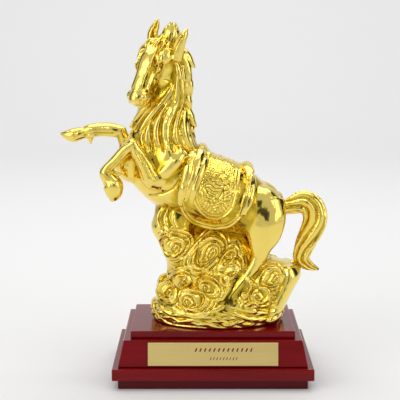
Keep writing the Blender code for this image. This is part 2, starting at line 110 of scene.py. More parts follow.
def smooth_run(stations, steps=STEPS):
    """Points between the stations on a Catmull-Rom curve, widths included."""
    rows = np.array(stations, float)
    padded = np.vstack([2 * rows[0] - rows[1], rows, 2 * rows[-1] - rows[-2]])
    run = []
    for i in range(1, len(padded) - 2):
        before, here, after, last = padded[i - 1:i + 3]
        for t in np.arange(steps) / steps:
            run.append(0.5 * (2 * here + (after - before) * t
                              + (2 * before - 5 * here + 4 * after - last) * t ** 2
                              + (3 * here - before - 3 * after + last) * t ** 3))
    run.append(rows[-1])
    return np.array(run)


def ring_places(stations, side, steps, level):
    """A frame for each circle along a limb: its widths, turn and place."""
    run = smooth_run(stations, steps)
    run[:, 3:] = np.maximum(run[:, 3:], LEAST_WIDTH)
    tangents = np.gradient(run[:, :3], axis=0)
    places = []
    for row, tangent in zip(run, tangents):
        along = Vector(UPWARD) if level else Vector(tangent).normalized()
        across = Vector(side)
        across = (across - along * across.dot(along)).normalized()
        place = Matrix((across.cross(along) * row[3], across * row[4], along)).transposed().to_4x4()
        place.translation = Vector(row[:3])
        places.append(place)
    return places


def select_range(item, first, last):
    """Selects a run of vertices, by their number, in edit mode."""
    bpy.ops.mesh.select_all(action="DESELECT")
    bm = bmesh.from_edit_mesh(item.data)
    bm.verts.ensure_lookup_table()
    for vert in bm.verts[first:last]:
        vert.select = True
    bm.select_flush(True)
    bmesh.update_edit_mesh(item.data)


def set_rings(item, places, sides):
    """Moves each circle from the middle of the scene to its own place along the limb."""
    bm = bmesh.from_edit_mesh(item.data)
    bm.verts.ensure_lookup_table()
    for i, place in enumerate(places):
        for vert in bm.verts[i * sides:(i + 1) * sides]:
            vert.co = place @ vert.co
    bmesh.update_edit_mesh(item.data)


def limb(stations, side=ACROSS, sides=24, steps=STEPS, level=False):
    """A closed limb through (x, y, z, half depth, half width): circles bridged in turn, ends capped."""
    places = ring_places(stations, side, steps, level)
    deselect()
    bpy.ops.mesh.primitive_circle_add(vertices=sides, radius=1)
    item = bpy.context.object
    bpy.ops.object.mode_set(mode="EDIT")
    for place in places[1:]:
        bpy.ops.mesh.primitive_circle_add(vertices=sides, radius=1)
    set_rings(item, places, sides)
    for i in range(len(places) - 1):
        select_range(item, i * sides, (i + 2) * sides)
        bpy.ops.mesh.bridge_edge_loops()
    for i in (0, len(places) - 1):
        select_range(item, i * sides, (i + 1) * sides)
        bpy.ops.mesh.edge_face_add()
    bpy.ops.mesh.select_all(action="SELECT")
    bpy.ops.mesh.normals_make_consistent(inside=False)
    bpy.ops.object.mode_set(mode="OBJECT")
    return item


def ball(centre, radii, turn=(0.0, 0.0, 0.0)):
    """An ellipsoid muscle or boss."""
    deselect()
    bpy.ops.mesh.primitive_uv_sphere_add(segments=BALL_SEGMENTS, ring_count=BALL_RINGS, radius=1,
                                         location=centre, rotation=turn, scale=radii)
    bpy.ops.object.transform_apply(location=True, rotation=True, scale=True)
    return bpy.context.object


def tubes(paths):
    """Round ridges along lists of (x, y, z, half width), as one bevelled curve made a mesh."""
    curve = bpy.data.curves.new("ridges", "CURVE")
    curve.dimensions = "3D"
    curve.bevel_depth = 1.0
    curve.bevel_resolution = RIDGE_ROUNDNESS
    curve.use_fill_caps = True
    for path in paths:
        spline = curve.splines.new("POLY")
        spline.points.add(len(path) - 1)
        for point, (x, y, z, half) in zip(spline.points, path):
            point.co = (x, y, z, 1.0)
            point.radius = half
    item = bpy.data.objects.new("ridges", curve)
    bpy.context.collection.objects.link(item)
    pick(item)
    bpy.ops.object.convert(target="MESH")
    return bpy.context.object


def joined(items, name):
    """One object of several closed shapes."""
    deselect()
    for item in items:
        item.select_set(True)
    bpy.context.view_layer.objects.active = items[0]
    bpy.ops.object.join()
    item = bpy.context.object
    item.name = name
    return item


def applied(item, kind, **settings):
    """Adds one modifier with its settings and applies it."""
    pick(item)
    modifier = item.modifiers.new(kind.lower(), kind)
    for key, value in settings.items():
        setattr(modifier, key, value)
    bpy.ops.object.modifier_apply(modifier=modifier.name)


def fused(item, voxel, smooth):
    """Melts the shapes of an object into one skin."""
    applied(item, "REMESH", mode="VOXEL", voxel_size=voxel)
    applied(item, "SMOOTH", factor=0.5, iterations=smooth)


class Skin:
    """The outside of what is shaped so far, for laying locks and scrolls on."""

    def __init__(self, item):
        self.tree = BVHTree.FromObject(item, bpy.context.evaluated_depsgraph_get())

    def depth(self, x, z, side, fallback=0.0):
        """Y of the outside at (x, z), seen from one side."""
        hit = self.tree.ray_cast(Vector((x, side * RAY_START, z)), Vector((0.0, -side, 0.0)))[0]
        return fallback if hit is None else hit.y


def laid(skin, path, side, sink=0.35, fallback=0.0, steps=STEPS):
    """A ridge along (x, z, half width) that lies on the skin, sunk by a share of its width."""
    ridge = []
    y = fallback
    for x, z, half in smooth_run(path, steps):
        y = skin.depth(x, z, side, y)
        half = max(half, LEAST_RIDGE)
        ridge.append((x, y - side * sink * half, z, half))
    return ridge


# Horse

def on_body(along, up):
    """(x, z) from the distance along the sloping back line and the height square to it."""
    return (along * math.cos(BODY_SLOPE) + up * math.sin(BODY_SLOPE),
            up * math.cos(BODY_SLOPE) - along * math.sin(BODY_SLOPE))


# Limbs of both sides: (x, distance from the middle, z, half depth, half width)
FOREARM_MUSCLE = [(-26, 22, 160, 6, 5), (-33, 27.5, 151, 6.4, 5.6), (-43, 28, 141, 6, 5),
                  (-51, 25, 134, 4, 4)]
THIGH = [(44, 12, 112, 22, 16), (46, 17, 97, 20.5, 15), (45.5, 20, 83, 16.5, 12), (43.5, 21.5, 73, 11, 9),
         (42, 22, 64, 7.2, 6.4)]
HIND_LEG = [(43.5, 21.5, 73, 10.6, 8.8), (42, 22, 64, 7.2, 6.4), (35, 24, 51.5, 4.8, 4.6),
            (25, 27.5, 39.5, 4.2, 4.2), (16, 31, 28, 4.4, 4.4), (10.5, 33, 20.5, 5.2, 5),
            (5, 34.5, 14, 5.6, 5.6), (0, 34.5, 8, 6, 6)]


def trunk_pieces():
    """Barrel, chest, haunches and neck."""
    barrel = [(-153, 84, 10, 12), (-147, 87, 20, 21), (-136, 92, 26, 26), (-120, 95, 31, 29),
              (-100, 95.5, 33, 30.5), (-80, 97, 32.5, 31), (-60, 101, 33, 32), (-40, 105, 30.5, 32),
              (-22, 106, 25.5, 30), (-9, 106, 19.5, 25), (1, 106, 11, 15)]
    stations = []
    for along, up, depth, width in barrel:
        x, z = on_body(along, up)
        stations.append((x, 0, z, depth, width))
    neck = [(-44, 1, 148, 32, 27), (-46, 0, 168, 30.5, 24), (-46, 0, 185, 25, 19.5),
            (-43.5, 0, 200, 21, 16.5), (-37, 0, 215, 16.5, 13), (-33.5, 0, 230, 14, 11.5),
            (-34, 0, 243, 12, 11)]
    pieces = [limb(stations, sides=32), limb(neck, sides=28)]
    for side in BOTH_SIDES:
        pieces.append(ball((-38.5, side * 19.4, 150), (14.5, 11.4, 19), (0, math.radians(-12), 0)))
        pieces.append(limb(mirrored(FOREARM_MUSCLE, side), sides=16))
        pieces.append(ball((-43, side * 17.5, 133), (17, 13, 13), (0, math.radians(28), 0)))
        pieces.append(ball((42.5, side * 13, 106), (22, 17, 22)))
        pieces.append(ball((-72, side * 9, 146), (17, 14, 17)))
        pieces.append(limb(mirrored(THIGH, side)))
    return pieces


def foreleg(knee, elbow, shoulder_y, foot, side_y):
    """Forearm, knee, cannon, fetlock and bent hoof. foot lists (x, z, half width) from the knee on."""
    middle = ((elbow[0] + knee[0]) / 2, side_y, (elbow[2] + knee[2]) / 2)
    forearm = [(-42, shoulder_y, 139, 14, 11), (*elbow, 9.5, 9), (*middle, 6.6, 6.4), (*knee, 5.4, 5.6)]
    cannon = [(*knee, 5.6, 5.6)]
    cannon += [(x, side_y * 1.04, z, half, half) for x, z, half in foot]
    return [limb(forearm, sides=20), limb(cannon, sides=20), ball(knee, (5.8, 5.8, 5.8))]


def leg_pieces():
    near = foreleg((-71, -27, 166), (-53.5, -25, 136), -19.5, [
        (-77.5, 161.5, 5.0), (-88, 150.5, 4.6), (-94, 144, 5.0), (-95.2, 140.5, 5.6), (-91.8, 135.5, 7.0),
        (-88.8, 130.5, 9.0), (-88.2, 124.5, 8.4), (-89.2, 119, 5.6), (-90.6, 115.6, 1.6)], -27)
    far = foreleg((-85, 23, 172), (-76, 22, 150), 16.5, [
        (-94, 173.6, 6.8), (-104, 173.9, 6.4), (-113, 172.8, 6.6), (-119, 171.0, 5.6), (-125, 169.6, 6.4),
        (-130, 168.6, 6.6), (-136, 169.0, 4.4), (-141.4, 170.0, 1.2)], 23)
    tufts = [[(-94, -28, 142, 3.6, 3), (-87, -28, 140.4, 2.8, 2.4), (-78, -26, 141.4, 1.0, 1.0)],
             [(-113, 24, 171, 3.6, 3), (-113.6, 24, 165, 2.6, 2.2), (-113.4, 24, 160.4, 0.8, 0.8)]]
    pieces = near + far + [limb(tuft, sides=14) for tuft in tufts]
    for side in BOTH_SIDES:
        pieces.append(limb(mirrored(HIND_LEG, side), sides=18))
    return pieces


def head_axes():
    """Axes of the head: down the nose, out of the forehead, and out of the near cheek."""
    forward = Vector((-math.cos(HEAD_YAW), -math.sin(HEAD_YAW), 0.0))
    up = Vector(UPWARD)
    nose = forward * math.cos(HEAD_DIP) - up * math.sin(HEAD_DIP)
    brow = forward * math.sin(HEAD_DIP) + up * math.cos(HEAD_DIP)
    cheek = Vector((math.sin(HEAD_YAW), -math.cos(HEAD_YAW), 0.0))
    near = cheek * math.cos(HEAD_ROLL) - brow * math.sin(HEAD_ROLL)
    out = brow * math.cos(HEAD_ROLL) + cheek * math.sin(HEAD_ROLL)
    return nose, out, near


NOSE, OUT, CHEEK = head_axes()


def on_head(down, out, across):
    """A place on the head: down the nose, out of the face, and across to the near cheek."""
    return HEAD_TOP + NOSE * down + OUT * out + CHEEK * across


def head_ball(down, out, across, radii):
    return ball(on_head(down, out, across), radii, Matrix((NOSE, CHEEK, OUT)).transposed().to_euler())


def head_limb(stations, sides=20):
    rows = [(*on_head(*station[:3]), *station[3:]) for station in stations]
    return limb(rows, side=CHEEK, sides=sides)


def head_ridge(stations, hand=1):
    """A thin ridge through (down, out, across, half width), on the near cheek or mirrored to the far one."""
    rows = [(*on_head(down, out, hand * across), half, 0.0) for down, out, across, half in stations]
    return [tuple(row[:4]) for row in smooth_run(rows)]


# Near cheek, then far cheek
BOTH_CHEEKS = (1, -1)
# Swellings of a cheek, as (down, out, across, radii): jowl, temple, cheek, brow, eye, face, nostril and lip
FACE_SWELLINGS = [(24.5, -25.5, 8.6, (15.5, 9, 14.5)), (14, -7.6, 10.4, (9.6, 6.6, 6.6)),
                  (17, -19.5, 9.4, (16, 8.2, 13.5)), (20.5, -2.2, 9.2, (7.0, 4.0, 3.6)),
                  (29, -6.0, 9.8, (3.6, 2.4, 2.8)), (38, -11.8, 7.0, (6.0, 2.2, 2.8)),
                  (57, -8.0, 7.0, (4.8, 3.4, 4.0)), (53, -14.6, 6.4, (7.0, 2.8, 2.6))]
# Thin ridges of a cheek: the eye's upper lid, folds of skin behind the eye, and a vein down the face
FACE_RIDGES = [[(25, -5.4, 11.0, 0.8), (27, -3.0, 11.6, 0.8), (30.5, -2.8, 11.6, 0.8), (34, -5.6, 10, 0.8)],
               [(19, -5.6, 11.4, 0.7), (23, -7.4, 13.0, 1.0), (28, -9.4, 12.6, 0.9), (33, -10, 11, 0.5)],
               [(15, -8, 11.6, 0.6), (20, -10, 13.6, 1.1), (26, -12.6, 13.6, 0.9), (31, -14, 12.2, 0.5)],
               [(37, -8.2, 8.4, 0.5), (43, -7.4, 7.8, 0.9), (49, -8.2, 7.6, 0.8), (52, -10.4, 7.4, 0.5)]]
FORELOCK = [[(1, -1, 3, 1.6), (6, 2.0, 4, 2.0), (11, 2.0, 2.5, 1.6), (15, 1.6, 0.5, 0.7)],
            [(2, -2, 7, 1.6), (6, 0.2, 8.4, 1.9), (10.5, 0.6, 8.6, 1.5), (14, 0.2, 7.2, 0.6)],
            [(3, -4, 11, 1.4), (7, -2.6, 12, 1.7), (11, -2.6, 12.2, 1.3), (14, -3.2, 11, 0.6)],
            [(2, -2, -1, 1.5), (7, 1.8, -2.4, 1.8), (12, 2.0, -4.2, 1.4), (15, 1.4, -5.6, 0.6)],
            [(2, -3, -6, 1.4), (6, -0.6, -7.6, 1.6), (10.5, -1.0, -9, 1.2), (14, -2.2, -9.4, 0.6)]]


def head_pieces():
    """Skull, nose bar, jaw, chin, lower lip, the cheeks' swellings and ridges, and the forelock."""
    skull = [(-5, -10, 0, 8, 9), (3, -13, 0, 14, 13.5), (12, -14, 0, 16.6, 14.6), (21, -14.5, 0, 16, 12.8),
             (30, -13.4, 0, 13.8, 10.6), (40, -11.4, 0, 11, 8.8), (49, -10.4, 0, 9.6, 8.2),
             (56, -10.6, 0, 9.4, 8.8), (61, -11.2, 0, 8.6, 8.2), (64.2, -12.0, 0, 6.2, 6.2)]
    nose_bar = [(6, -0.6, 0, 1.8, 5.2), (20, 2.2, 0, 2.0, 6.6), (31, 1.3, 0, 2.0, 6.2),
                (41, -0.1, 0, 1.8, 5.4), (49, -1.2, 0, 1.6, 5.6), (53.5, -2.4, 0, 1.4, 6.2)]
    jaw = [(18, -29, 0, 8, 8), (31, -25.6, 0, 6.4, 6.6), (44, -20.6, 0, 4.8, 5.6), (54, -18, 0, 4.2, 5)]
    pieces = [head_limb(skull, sides=28), head_limb(nose_bar), head_limb(jaw),
              head_ball(56.5, -17.8, 0, (6.4, 6.0, 4)), head_ball(61, -15.2, 0, (3.4, 6.2, 2.6))]
    ridges = []
    for hand in BOTH_CHEEKS:
        for down, out, across, radii in FACE_SWELLINGS:
            pieces.append(head_ball(down, out, hand * across, radii))
        ridges += [head_ridge(ridge, hand) for ridge in FACE_RIDGES]
    ridges += [head_ridge(lock) for lock in FORELOCK]
    return pieces + [tubes(ridges)]


def ear(base, middle, tip):
    """A leaf-shaped ear, hollowed later on the side it faces."""
    waist = [middle[i] * 0.4 + tip[i] * 0.6 for i in range(3)]
    return limb([(*base, 5.6, 5.8), (*middle, 5.0, 5.2), (*waist, 3.4, 3.5), (*tip, 0.5, 0.5)], sides=16)


PLUME_ROOT = (-41.0, 246.0)
PLUME_TIPS = [(-46.5, 262), (-44, 265.5), (-41.6, 268.6), (-39, 271), (-36.4, 272.6), (-33.8, 271.6),
              (-31.8, 268.5), (-30.4, 265), (-29.6, 261)]


def plume_paths():
    """Strands that fan up over the topknot from its root."""
    paths = []
    for side in BOTH_SIDES:
        for i, (x, z) in enumerate(PLUME_TIPS):
            lean = (i - 4) * 1.2
            middle = ((PLUME_ROOT[0] + x) / 2 + lean, side * 8.4, (PLUME_ROOT[1] + z) / 2)
            run = smooth_run([(PLUME_ROOT[0] + lean, side * 8.8, PLUME_ROOT[1], 1.2), (*middle, 1.5),
                              (x, side * 4.2, z, 0.7)])
            paths.append([tuple(row) for row in run])
    return paths


def crest_pieces():
    """Ears, topknot and the flicks along the crest."""
    pieces = [ear((-53.6, 9, 247), (-54.2, 9, 261), (-48.9, 10, 276)),
              ear((-33, -11, 240), (-29, -13.5, 254), (-22.6, -14, 267.3)),
              limb([(-42, -1, 247, 8, 8), (-38.6, -1, 257, 8.6, 8.6), (-36.6, 0, 265.5, 7.6, 7.6),
                    (-35.4, 0, 272.4, 2.6, 3)], sides=20),
              tubes(plume_paths())]
    flicks = [(-30, 247, -20, 237.0, -15.8, 232.0), (-27, 226, -20.5, 213.5, -18.6, 208.6),
              (-27, 209, -22, 196.5, -19.4, 191.6), (-27, 196, -18.6, 184, -14.4, 179.2),
              (-25, 182, -19.5, 174, -15.6, 169)]
    for x, z, bend_x, bend_z, tip_x, tip_z in flicks:
        pieces.append(limb([(x, -2, z, 5.5, 6), ((x + bend_x) / 2 + 1, -3, (z + bend_z) / 2, 5.2, 5.4),
                            (bend_x, -3, bend_z, 3.5, 3.8), (tip_x, -3, tip_z, 0.6, 0.6)], sides=16))
    return pieces


TAIL = [(56, 106, 6), (63, 104.6, 6.4), (72.4, 106.8, 8.4), (82.7, 109.8, 11), (90.8, 105.4, 11.6),
        (94.2, 95, 11.6), (92, 84.5, 11), (87.2, 73.7, 10), (83.4, 64.3, 8.8), (82.8, 56.7, 8),
        (88, 51, 5.6), (94.5, 47.6, 3), (99.3, 46, 0.9)]
TAIL_WIDTH = 0.8


def tail_piece():
    return limb([(x, 0, z, half, half * TAIL_WIDTH) for x, z, half in TAIL], sides=24)


# Rock and waves

def rock_pieces():
    drum = [(4.2, 0, 0, 60, 39.5), (4.2, 0, 4, 60.5, 40), (5.5, 0, 12, 61.5, 40), (8, 0, 22, 60, 38),
            (13, 0, 32, 57, 34), (17, 0, 45, 58, 29), (16, 0, 54, 53, 25), (8, 0, 60, 40, 20)]
    column = [(-18, 0, 40, 25, 28), (-23, 0, 55, 20, 26), (-30, 0, 72, 20, 25), (-36, 0, 86, 21, 24),
              (-34, 0, 98, 20, 21), (-33, 0, 112, 19, 17)]
    wall = [(-30, 0, 68, 24, 18), (0, 0, 64, 24, 17), (25, 0, 60, 22, 17), (46, 0, 50, 14, 18)]
    slab = [(52, 0, 3, 12, 33), (58, 0, 18, 12, 29), (64, 0, 31, 12.5, 26), (69.5, 0, 44, 13.2, 23),
            (69, 0, 53, 9, 19)]
    return [limb(drum, sides=36, level=True), limb(column, sides=28, level=True), limb(wall, sides=28),
            limb(slab, sides=24, level=True)]


# Curls of the waves: centre (x, z), half length, half height, tilt, hand
CURLS = [(-35, 74.5, 9.0, 8.4, 20, 1), (-6.5, 64.5, 19, 10.5, 47, 1), (13, 61, 9.5, 5.4, 58, -1),
         (17.5, 50, 8.5, 4.6, 62, -1), (-41, 29, 9.6, 8.6, 0, 1), (-17.5, 26.5, 12.5, 9.4, -12, -1),
         (-29, 40.5, 7.2, 6.2, 25, 1), (-4.5, 37, 10, 7, -38, -1), (52, 43.5, 12.5, 10.5, 15, 1),
         (44, 28.5, 8.4, 7.4, -10, -1), (33.5, 17.5, 7.4, 6.6, 20, 1), (57.5, 29, 4.6, 4.4, 0, -1),
         (31, 38, 8, 4.2, 74, 1)]
# Sweeping strands between the curls, as (x, z, half width)
SWEEPS = [[(-44, 92, 1.0), (-40, 84, 2.2), (-28, 79, 2.0), (-18, 82, 0.8)],
          [(-44, 62, 0.8), (-36, 63, 2.0), (-24, 64, 2.2), (-14, 74, 2.0), (2, 82, 1.0)],
          [(-38, 55, 0.8), (-30, 53, 2.0), (-17, 55, 2.2), (-6, 50, 2.0), (4, 47, 0.8)],
          [(-42, 46, 0.8), (-38, 44, 2.0), (-32, 50, 2.0), (-22, 50, 1.0)],
          [(-46, 107, 0.8), (-49.5, 97, 2.4), (-46, 85, 0.8)],
          [(-40, 107, 0.8), (-43, 97, 2.4), (-39, 86, 0.8)],
          [(-34, 107, 0.8), (-36, 98, 2.2), (-31, 87, 0.8)],
          [(8, 70, 0.8), (20, 70, 2.0), (27, 62, 2.0), (28, 54, 0.8)],
          [(2, 52, 0.8), (10, 46, 2.0), (14, 38, 2.2), (8, 27, 1.0)],
          [(22, 50, 0.8), (32, 44, 2.0), (38, 36, 1.8), (36, 28, 0.8)],
          [(-30, 18, 0.8), (-16, 13, 2.6), (0, 17, 2.4), (10, 22, 0.8)],
          [(12, 16, 0.8), (24, 12, 2.4), (38, 8, 2.4), (50, 12, 0.8)],
          [(40, 50, 0.8), (48, 56, 1.8), (60, 54, 1.8), (66, 46, 0.8)]]
BOSS_DEPTH = 0.42
BOSS_SINK = 0.3
CURL_PITCH = 3.2
WARP = 1.3
CURL_DEPTH = 1.7
CURL_OFFSET = 0.32
ARC_PITCH = 3.6
ARC_DEPTH = 1.5
SKIRT_DEPTH = -1.3
# Rows of HIND_LEG that the waves keep clear of
CLEAR_LEG_ROWS = (0, 2, 3, 4, 6, 7)
CARVED_ROCK = [(-52, 84), (-46, 96), (-34, 101), (-16, 93), (2, 88), (22, 84), (34, 74), (46, 60), (62, 54),
               (60, 34), (53, 10), (48, 5), (20, 8), (-20, 9), (-50, 10), (-60, 14), (-62, 34), (-56, 44),
               (-48, 60)]
SCORE_SPACING = 0.6
RECESS_PASSES = 24
RECESS_DEPTH = 0.5


def boss_pieces(skin):
    """The swelling under each curl."""
    pieces = []
    for side in BOTH_SIDES:
        for x, z, length, height, tilt, hand in CURLS:
            y = skin.depth(x, z, side, side * 25)
            depth = min(length, height) * BOSS_DEPTH
            place = (x, y - side * depth * BOSS_SINK, z)
            pieces.append(ball(place, (length, depth, height), (0, -math.radians(tilt), 0)))
    return pieces


# Strands round the foot, in two layers: (lowest, highest, hand, half width)
STRAND_LAYERS = [(3.4, 17, 1, 3.0), (3.0, 13, -1, 2.6)]
STRAND_COUNT = 15
STRAND_STEPS = 14
STRAND_TURN = 0.86


def foot_strands():
    """Overlapping strands that sweep round the foot of the rock."""
    paths = []
    for layer, (low, high, hand, half) in enumerate(STRAND_LAYERS):
        for i in range(STRAND_COUNT):
            start = 2 * math.pi * (i + 0.5 * layer) / STRAND_COUNT
            path = []
            for j in range(STRAND_STEPS + 1):
                share = j / STRAND_STEPS
                angle = start + hand * share * STRAND_TURN
                z = high + (low - high) * (share ** 1.2) + 1.5 * math.sin(share * math.pi)
                width = half * math.sin(math.pi * (0.08 + 0.84 * share)) ** 0.7
                reach_x = FOOT_REACH - FOOT_CENTRE - half - 0.06 * max(z - 6, 0)
                reach_y = FOOT_HALF_DEPTH - half - 0.10 * max(z - 6, 0)
                path.append((FOOT_CENTRE + reach_x * math.cos(angle), reach_y * math.sin(angle), z, width))
            paths.append(path)
    return paths


# Hair

# Locks down the neck, as (x, z, half width)
FLUTES = [[(-32.6, 237.8, 2.0), (-30.4, 226.5, 3.4), (-30.8, 215.1, 4.0), (-32.3, 203.7, 4.5),
           (-36.5, 194.9, 4.8), (-40.8, 185.5, 5.0), (-41.9, 176.2, 5.0), (-40.9, 167.3, 4.2),
           (-39.5, 161, 2.0)],
          [(-27.4, 234.2, 1.4), (-26.1, 217.6, 2.8), (-27.2, 203.7, 3.2), (-31.0, 189.8, 3.4),
           (-33.9, 175.9, 3.2), (-31.1, 165.5, 2.6), (-25.5, 157.9, 1.2)],
          [(-21.4, 221.7, 1.4), (-22.6, 208.0, 3.0), (-24.5, 198.7, 3.4), (-27.0, 186.6, 3.4),
           (-25.5, 173.6, 3.0), (-19.9, 161.2, 1.4)],
          [(-34.8, 213, 1.4), (-37.4, 205.4, 2.4), (-41.2, 198.5, 2.8), (-46.5, 190.2, 3.0),
           (-50.1, 181.0, 3.0), (-50.4, 171.6, 2.6), (-47.7, 163.2, 1.0)],
          [(-35.6, 218, 1.2), (-39.4, 209.6, 2.8), (-45.2, 201.8, 3.2), (-51.9, 194.8, 3.4),
           (-58.2, 187.2, 2.8), (-63.5, 178.8, 1.8), (-65.4, 173.2, 0.6)],
          [(-49.7, 201.6, 1.2), (-56.0, 195.4, 2.6), (-61.9, 188.7, 2.6), (-67.7, 181.6, 1.8),
           (-73.1, 176.2, 0.6)],
          [(-56.6, 201.6, 1.0), (-62.8, 194.9, 2.0), (-69.5, 186.4, 2.0), (-74.8, 178.8, 0.8)],
          [(-54.0, 187.2, 1.0), (-56.7, 181.0, 2.2), (-58.2, 173.9, 2.8), (-58.4, 166.2, 2.4),
           (-56.4, 158.7, 0.8)],
          [(-61.6, 177.4, 0.8), (-63.0, 172.1, 1.8), (-62.4, 165.9, 2.0), (-60.0, 158.7, 0.6)]]
CREST = [(-29, 246, 4.5), (-24, 232, 5), (-23.4, 214, 5), (-24.6, 196, 5), (-25, 180, 5), (-21, 166, 4.2),
         (-16, 157, 3)]


def hair_paths(skin):
    paths = []
    for side in BOTH_SIDES:
        paths.append(laid(skin, CREST, side, sink=0.7, fallback=side * 8))
        for path in FLUTES:
            paths.append(laid(skin, path, side, sink=0.3, fallback=side * 12))
    return paths


# Saddle

# Padded rolls down the flank, as (x, z, half width)
ROLLS = [[(-12.4, 155.5, 4.4), (-14.6, 149.5, 3.8), (-17.1, 139.8, 3.2), (-21.4, 128.1, 2.2),
          (-24, 117, 0.6)],
         [(-18.9, 156, 4.2), (-21.2, 148.8, 3.6), (-23.6, 137.1, 3.2), (-26.7, 125.4, 2.2),
          (-28.5, 113, 0.6)],
         [(-8, 150, 2.8), (-10, 145, 2.8), (-13.8, 135.3, 2.6), (-17.8, 123.6, 1.6), (-18.6, 115, 0.5)],
         [(30.2, 140.5, 5.0), (34.0, 134.5, 4.6), (35.0, 126.5, 3.8), (32.4, 115, 3.0), (27.2, 104, 1.4)]]
CLOTH = [(-8, 172), (-13, 161), (-22, 151), (-28.6, 140), (-31.2, 126), (-30.6, 113), (-26.4, 102.1),
         (-16.8, 93.2), (-2.2, 89.1), (7.1, 89.6), (16.9, 92.6), (26.6, 102.1), (31.4, 115.9), (35.3, 129.8),
         (37.5, 140), (42, 156), (24, 176)]
PANEL = [(-4, 164), (-7.2, 154), (-12.5, 138.1), (-16.9, 123.7), (-14.3, 112), (-7.2, 103.9), (0.8, 101.2),
         (9.7, 103), (16.8, 110.2), (20.3, 121.9), (22.8, 135.4), (24.5, 147), (26, 158)]
# Where the rolls cross the back, as shares of the half width there, and how high they stand
CROWN_PLACES = (-0.7, -0.35, 0.0, 0.35, 0.7)
CROWN_RISE = 0.42
CROWN_EASE = 0.35
CLOTH_RISE = 1.8
CLOTH_EDGE = 1.2
CLOTH_FLOOR = 86
RIM_RISE = 1.3
PANEL_RISE = 1.0
# Raised rims, as (distance in from the edge, half width, share of the full height)
CLOTH_RIMS = [(2.0, 1.5, 1.0), (5.0, 1.3, 0.8)]
PANEL_RIMS = [(0.0, 1.3, 1.0), (2.8, 1.1, 0.7)]
RIM_TOP_FRONT = 131
RIM_TOP_BACK = 140
RIM_FADE = 6
PANEL_FRONT = -5
PANEL_INSET = 4.2
CARVING_EDGE = 0.8
CARVING_DEPTH = 0.5
STROKE_HEIGHT = 2.4
RING_HEIGHT = 1.5
MEDALLION = (1.2, 117.5)
MEDALLION_RADIUS = 15.5
FAN_SPACING = 8.0
FAN_REACH = FAN_SPACING * 0.52
FAN_SLOPE = BODY_SLOPE * 0.5
OUTLINE_MARGIN = 8.0
STROKE_SPACING = 3.0
# Patches of the medallion's strokes, as (x, z, turn)
STROKE_PATCHES = [(-11, 3, 20), (-7, -7, -25), (1, 9, 70), (2, -2, 100), (-3, 2, 50), (9, -8, 35),
                  (11, 4, 110), (5, 4, 145)]


def roll_paths(skin):
    """The padded rolls before and behind the saddle, over the back and down both flanks."""
    paths = []
    for roll in ROLLS:
        run = smooth_run([(*row, 0.0, 0.0) for row in roll])[:, :3]
        near, far = [[(x, skin.depth(x, z, side), z, half) for x, z, half in run] for side in BOTH_SIDES]
        x, y, z, half = far[0]
        crown = []
        for turn in CROWN_PLACES:
            rise = abs(y) * CROWN_RISE * (math.cos(turn * math.pi / 2) - CROWN_EASE)
            crown.append((x + rise * math.sin(BODY_SLOPE), y * turn, z + rise * math.cos(BODY_SLOPE), half))
        paths.append(near[::-1] + crown + far)
    return paths


def outline_depth(points, outline):
    """Distance of each point inside a smooth closed outline, or less than 0 outside it."""
    wrapped = [(*corner, 0.0, 0.0) for corner in outline[-2:] + outline + outline[:2]]
    corners = smooth_run(wrapped)[2 * STEPS:-2 * STEPS, :2]
    ends = np.roll(corners, -1, axis=0)
    box = (points > corners.min(axis=0) - OUTLINE_MARGIN).all(axis=1)
    box &= (points < corners.max(axis=0) + OUTLINE_MARGIN).all(axis=1)
    rows = np.flatnonzero(box)
    spots = points[rows]
    nearest = np.full(len(rows), np.inf)
    inside = np.zeros(len(rows), bool)
    for start, end in zip(corners, ends):
        edge = end - start
        if edge @ edge < 1e-9:
            continue
        offset = spots - start
        share = np.clip(offset @ edge / (edge @ edge), 0, 1)
        nearest = np.minimum(nearest, np.hypot(*(offset - share[:, None] * edge).T))
        crosses = (start[1] > spots[:, 1]) != (end[1] > spots[:, 1])
        slope = (end[0] - start[0]) / ((end[1] - start[1]) or 1e-9)
        inside ^= crosses & (spots[:, 0] < start[0] + slope * (spots[:, 1] - start[1]))
    depth = np.full(len(points), -OUTLINE_MARGIN)
    depth[rows] = np.where(inside, nearest, -nearest)
    return depth


def ramp(values):
    share = np.clip(values, 0, 1)
    return share * share * (3 - 2 * share)


def bump(values):
    return ramp(1 - np.abs(values))


def fan_pattern(x, z):
    """Rows of overlapping fans, each of two arcs: a traditional wave pattern. Gives ridges from 0 to 1."""
    ridge = np.zeros(len(x))
    open_place = np.ones(len(x), bool)
    low = int(z.min() / (FAN_SPACING / 2)) - 2
    high = int(z.max() / (FAN_SPACING / 2)) + 2
    for row in range(low, high):
        centre_z = row * FAN_SPACING / 2
        shift = FAN_SPACING / 2 if row % 2 else 0.0
        centre_x = np.round((x - shift) / FAN_SPACING) * FAN_SPACING + shift
        reach = np.hypot(x - centre_x, (z - centre_z))
        fan = open_place & (reach < FAN_REACH) & (z >= centre_z - 0.5)
        ridge[fan] = 0.5 + 0.5 * np.cos(2 * math.pi * reach[fan] / (FAN_REACH / 2))
        open_place &= ~fan
    return ridge


def stroke_pattern(x, z):
    """Patches of parallel strokes, each patch turned its own way. Gives ridges from 0 to 1."""
    gaps = np.array([np.hypot(x - px, z - pz) for px, pz, turn in STROKE_PATCHES])
    order = np.sort(gaps, axis=0)
    turns = np.radians([turn for px, pz, turn in STROKE_PATCHES])[gaps.argmin(axis=0)]
    across = x * np.cos(turns) + z * np.sin(turns) + 0.6 * np.sin(0.5 * (x - z))
    between = ramp((order[1] - order[0]) / 0.9)
    return between * (0.5 + 0.5 * np.cos(2 * math.pi * across / STROKE_SPACING))


def rims(depth, rows):
    """Raised rims at their distances in from an outline."""
    return sum(share * bump((depth - inset) / half) for inset, half, share in rows)


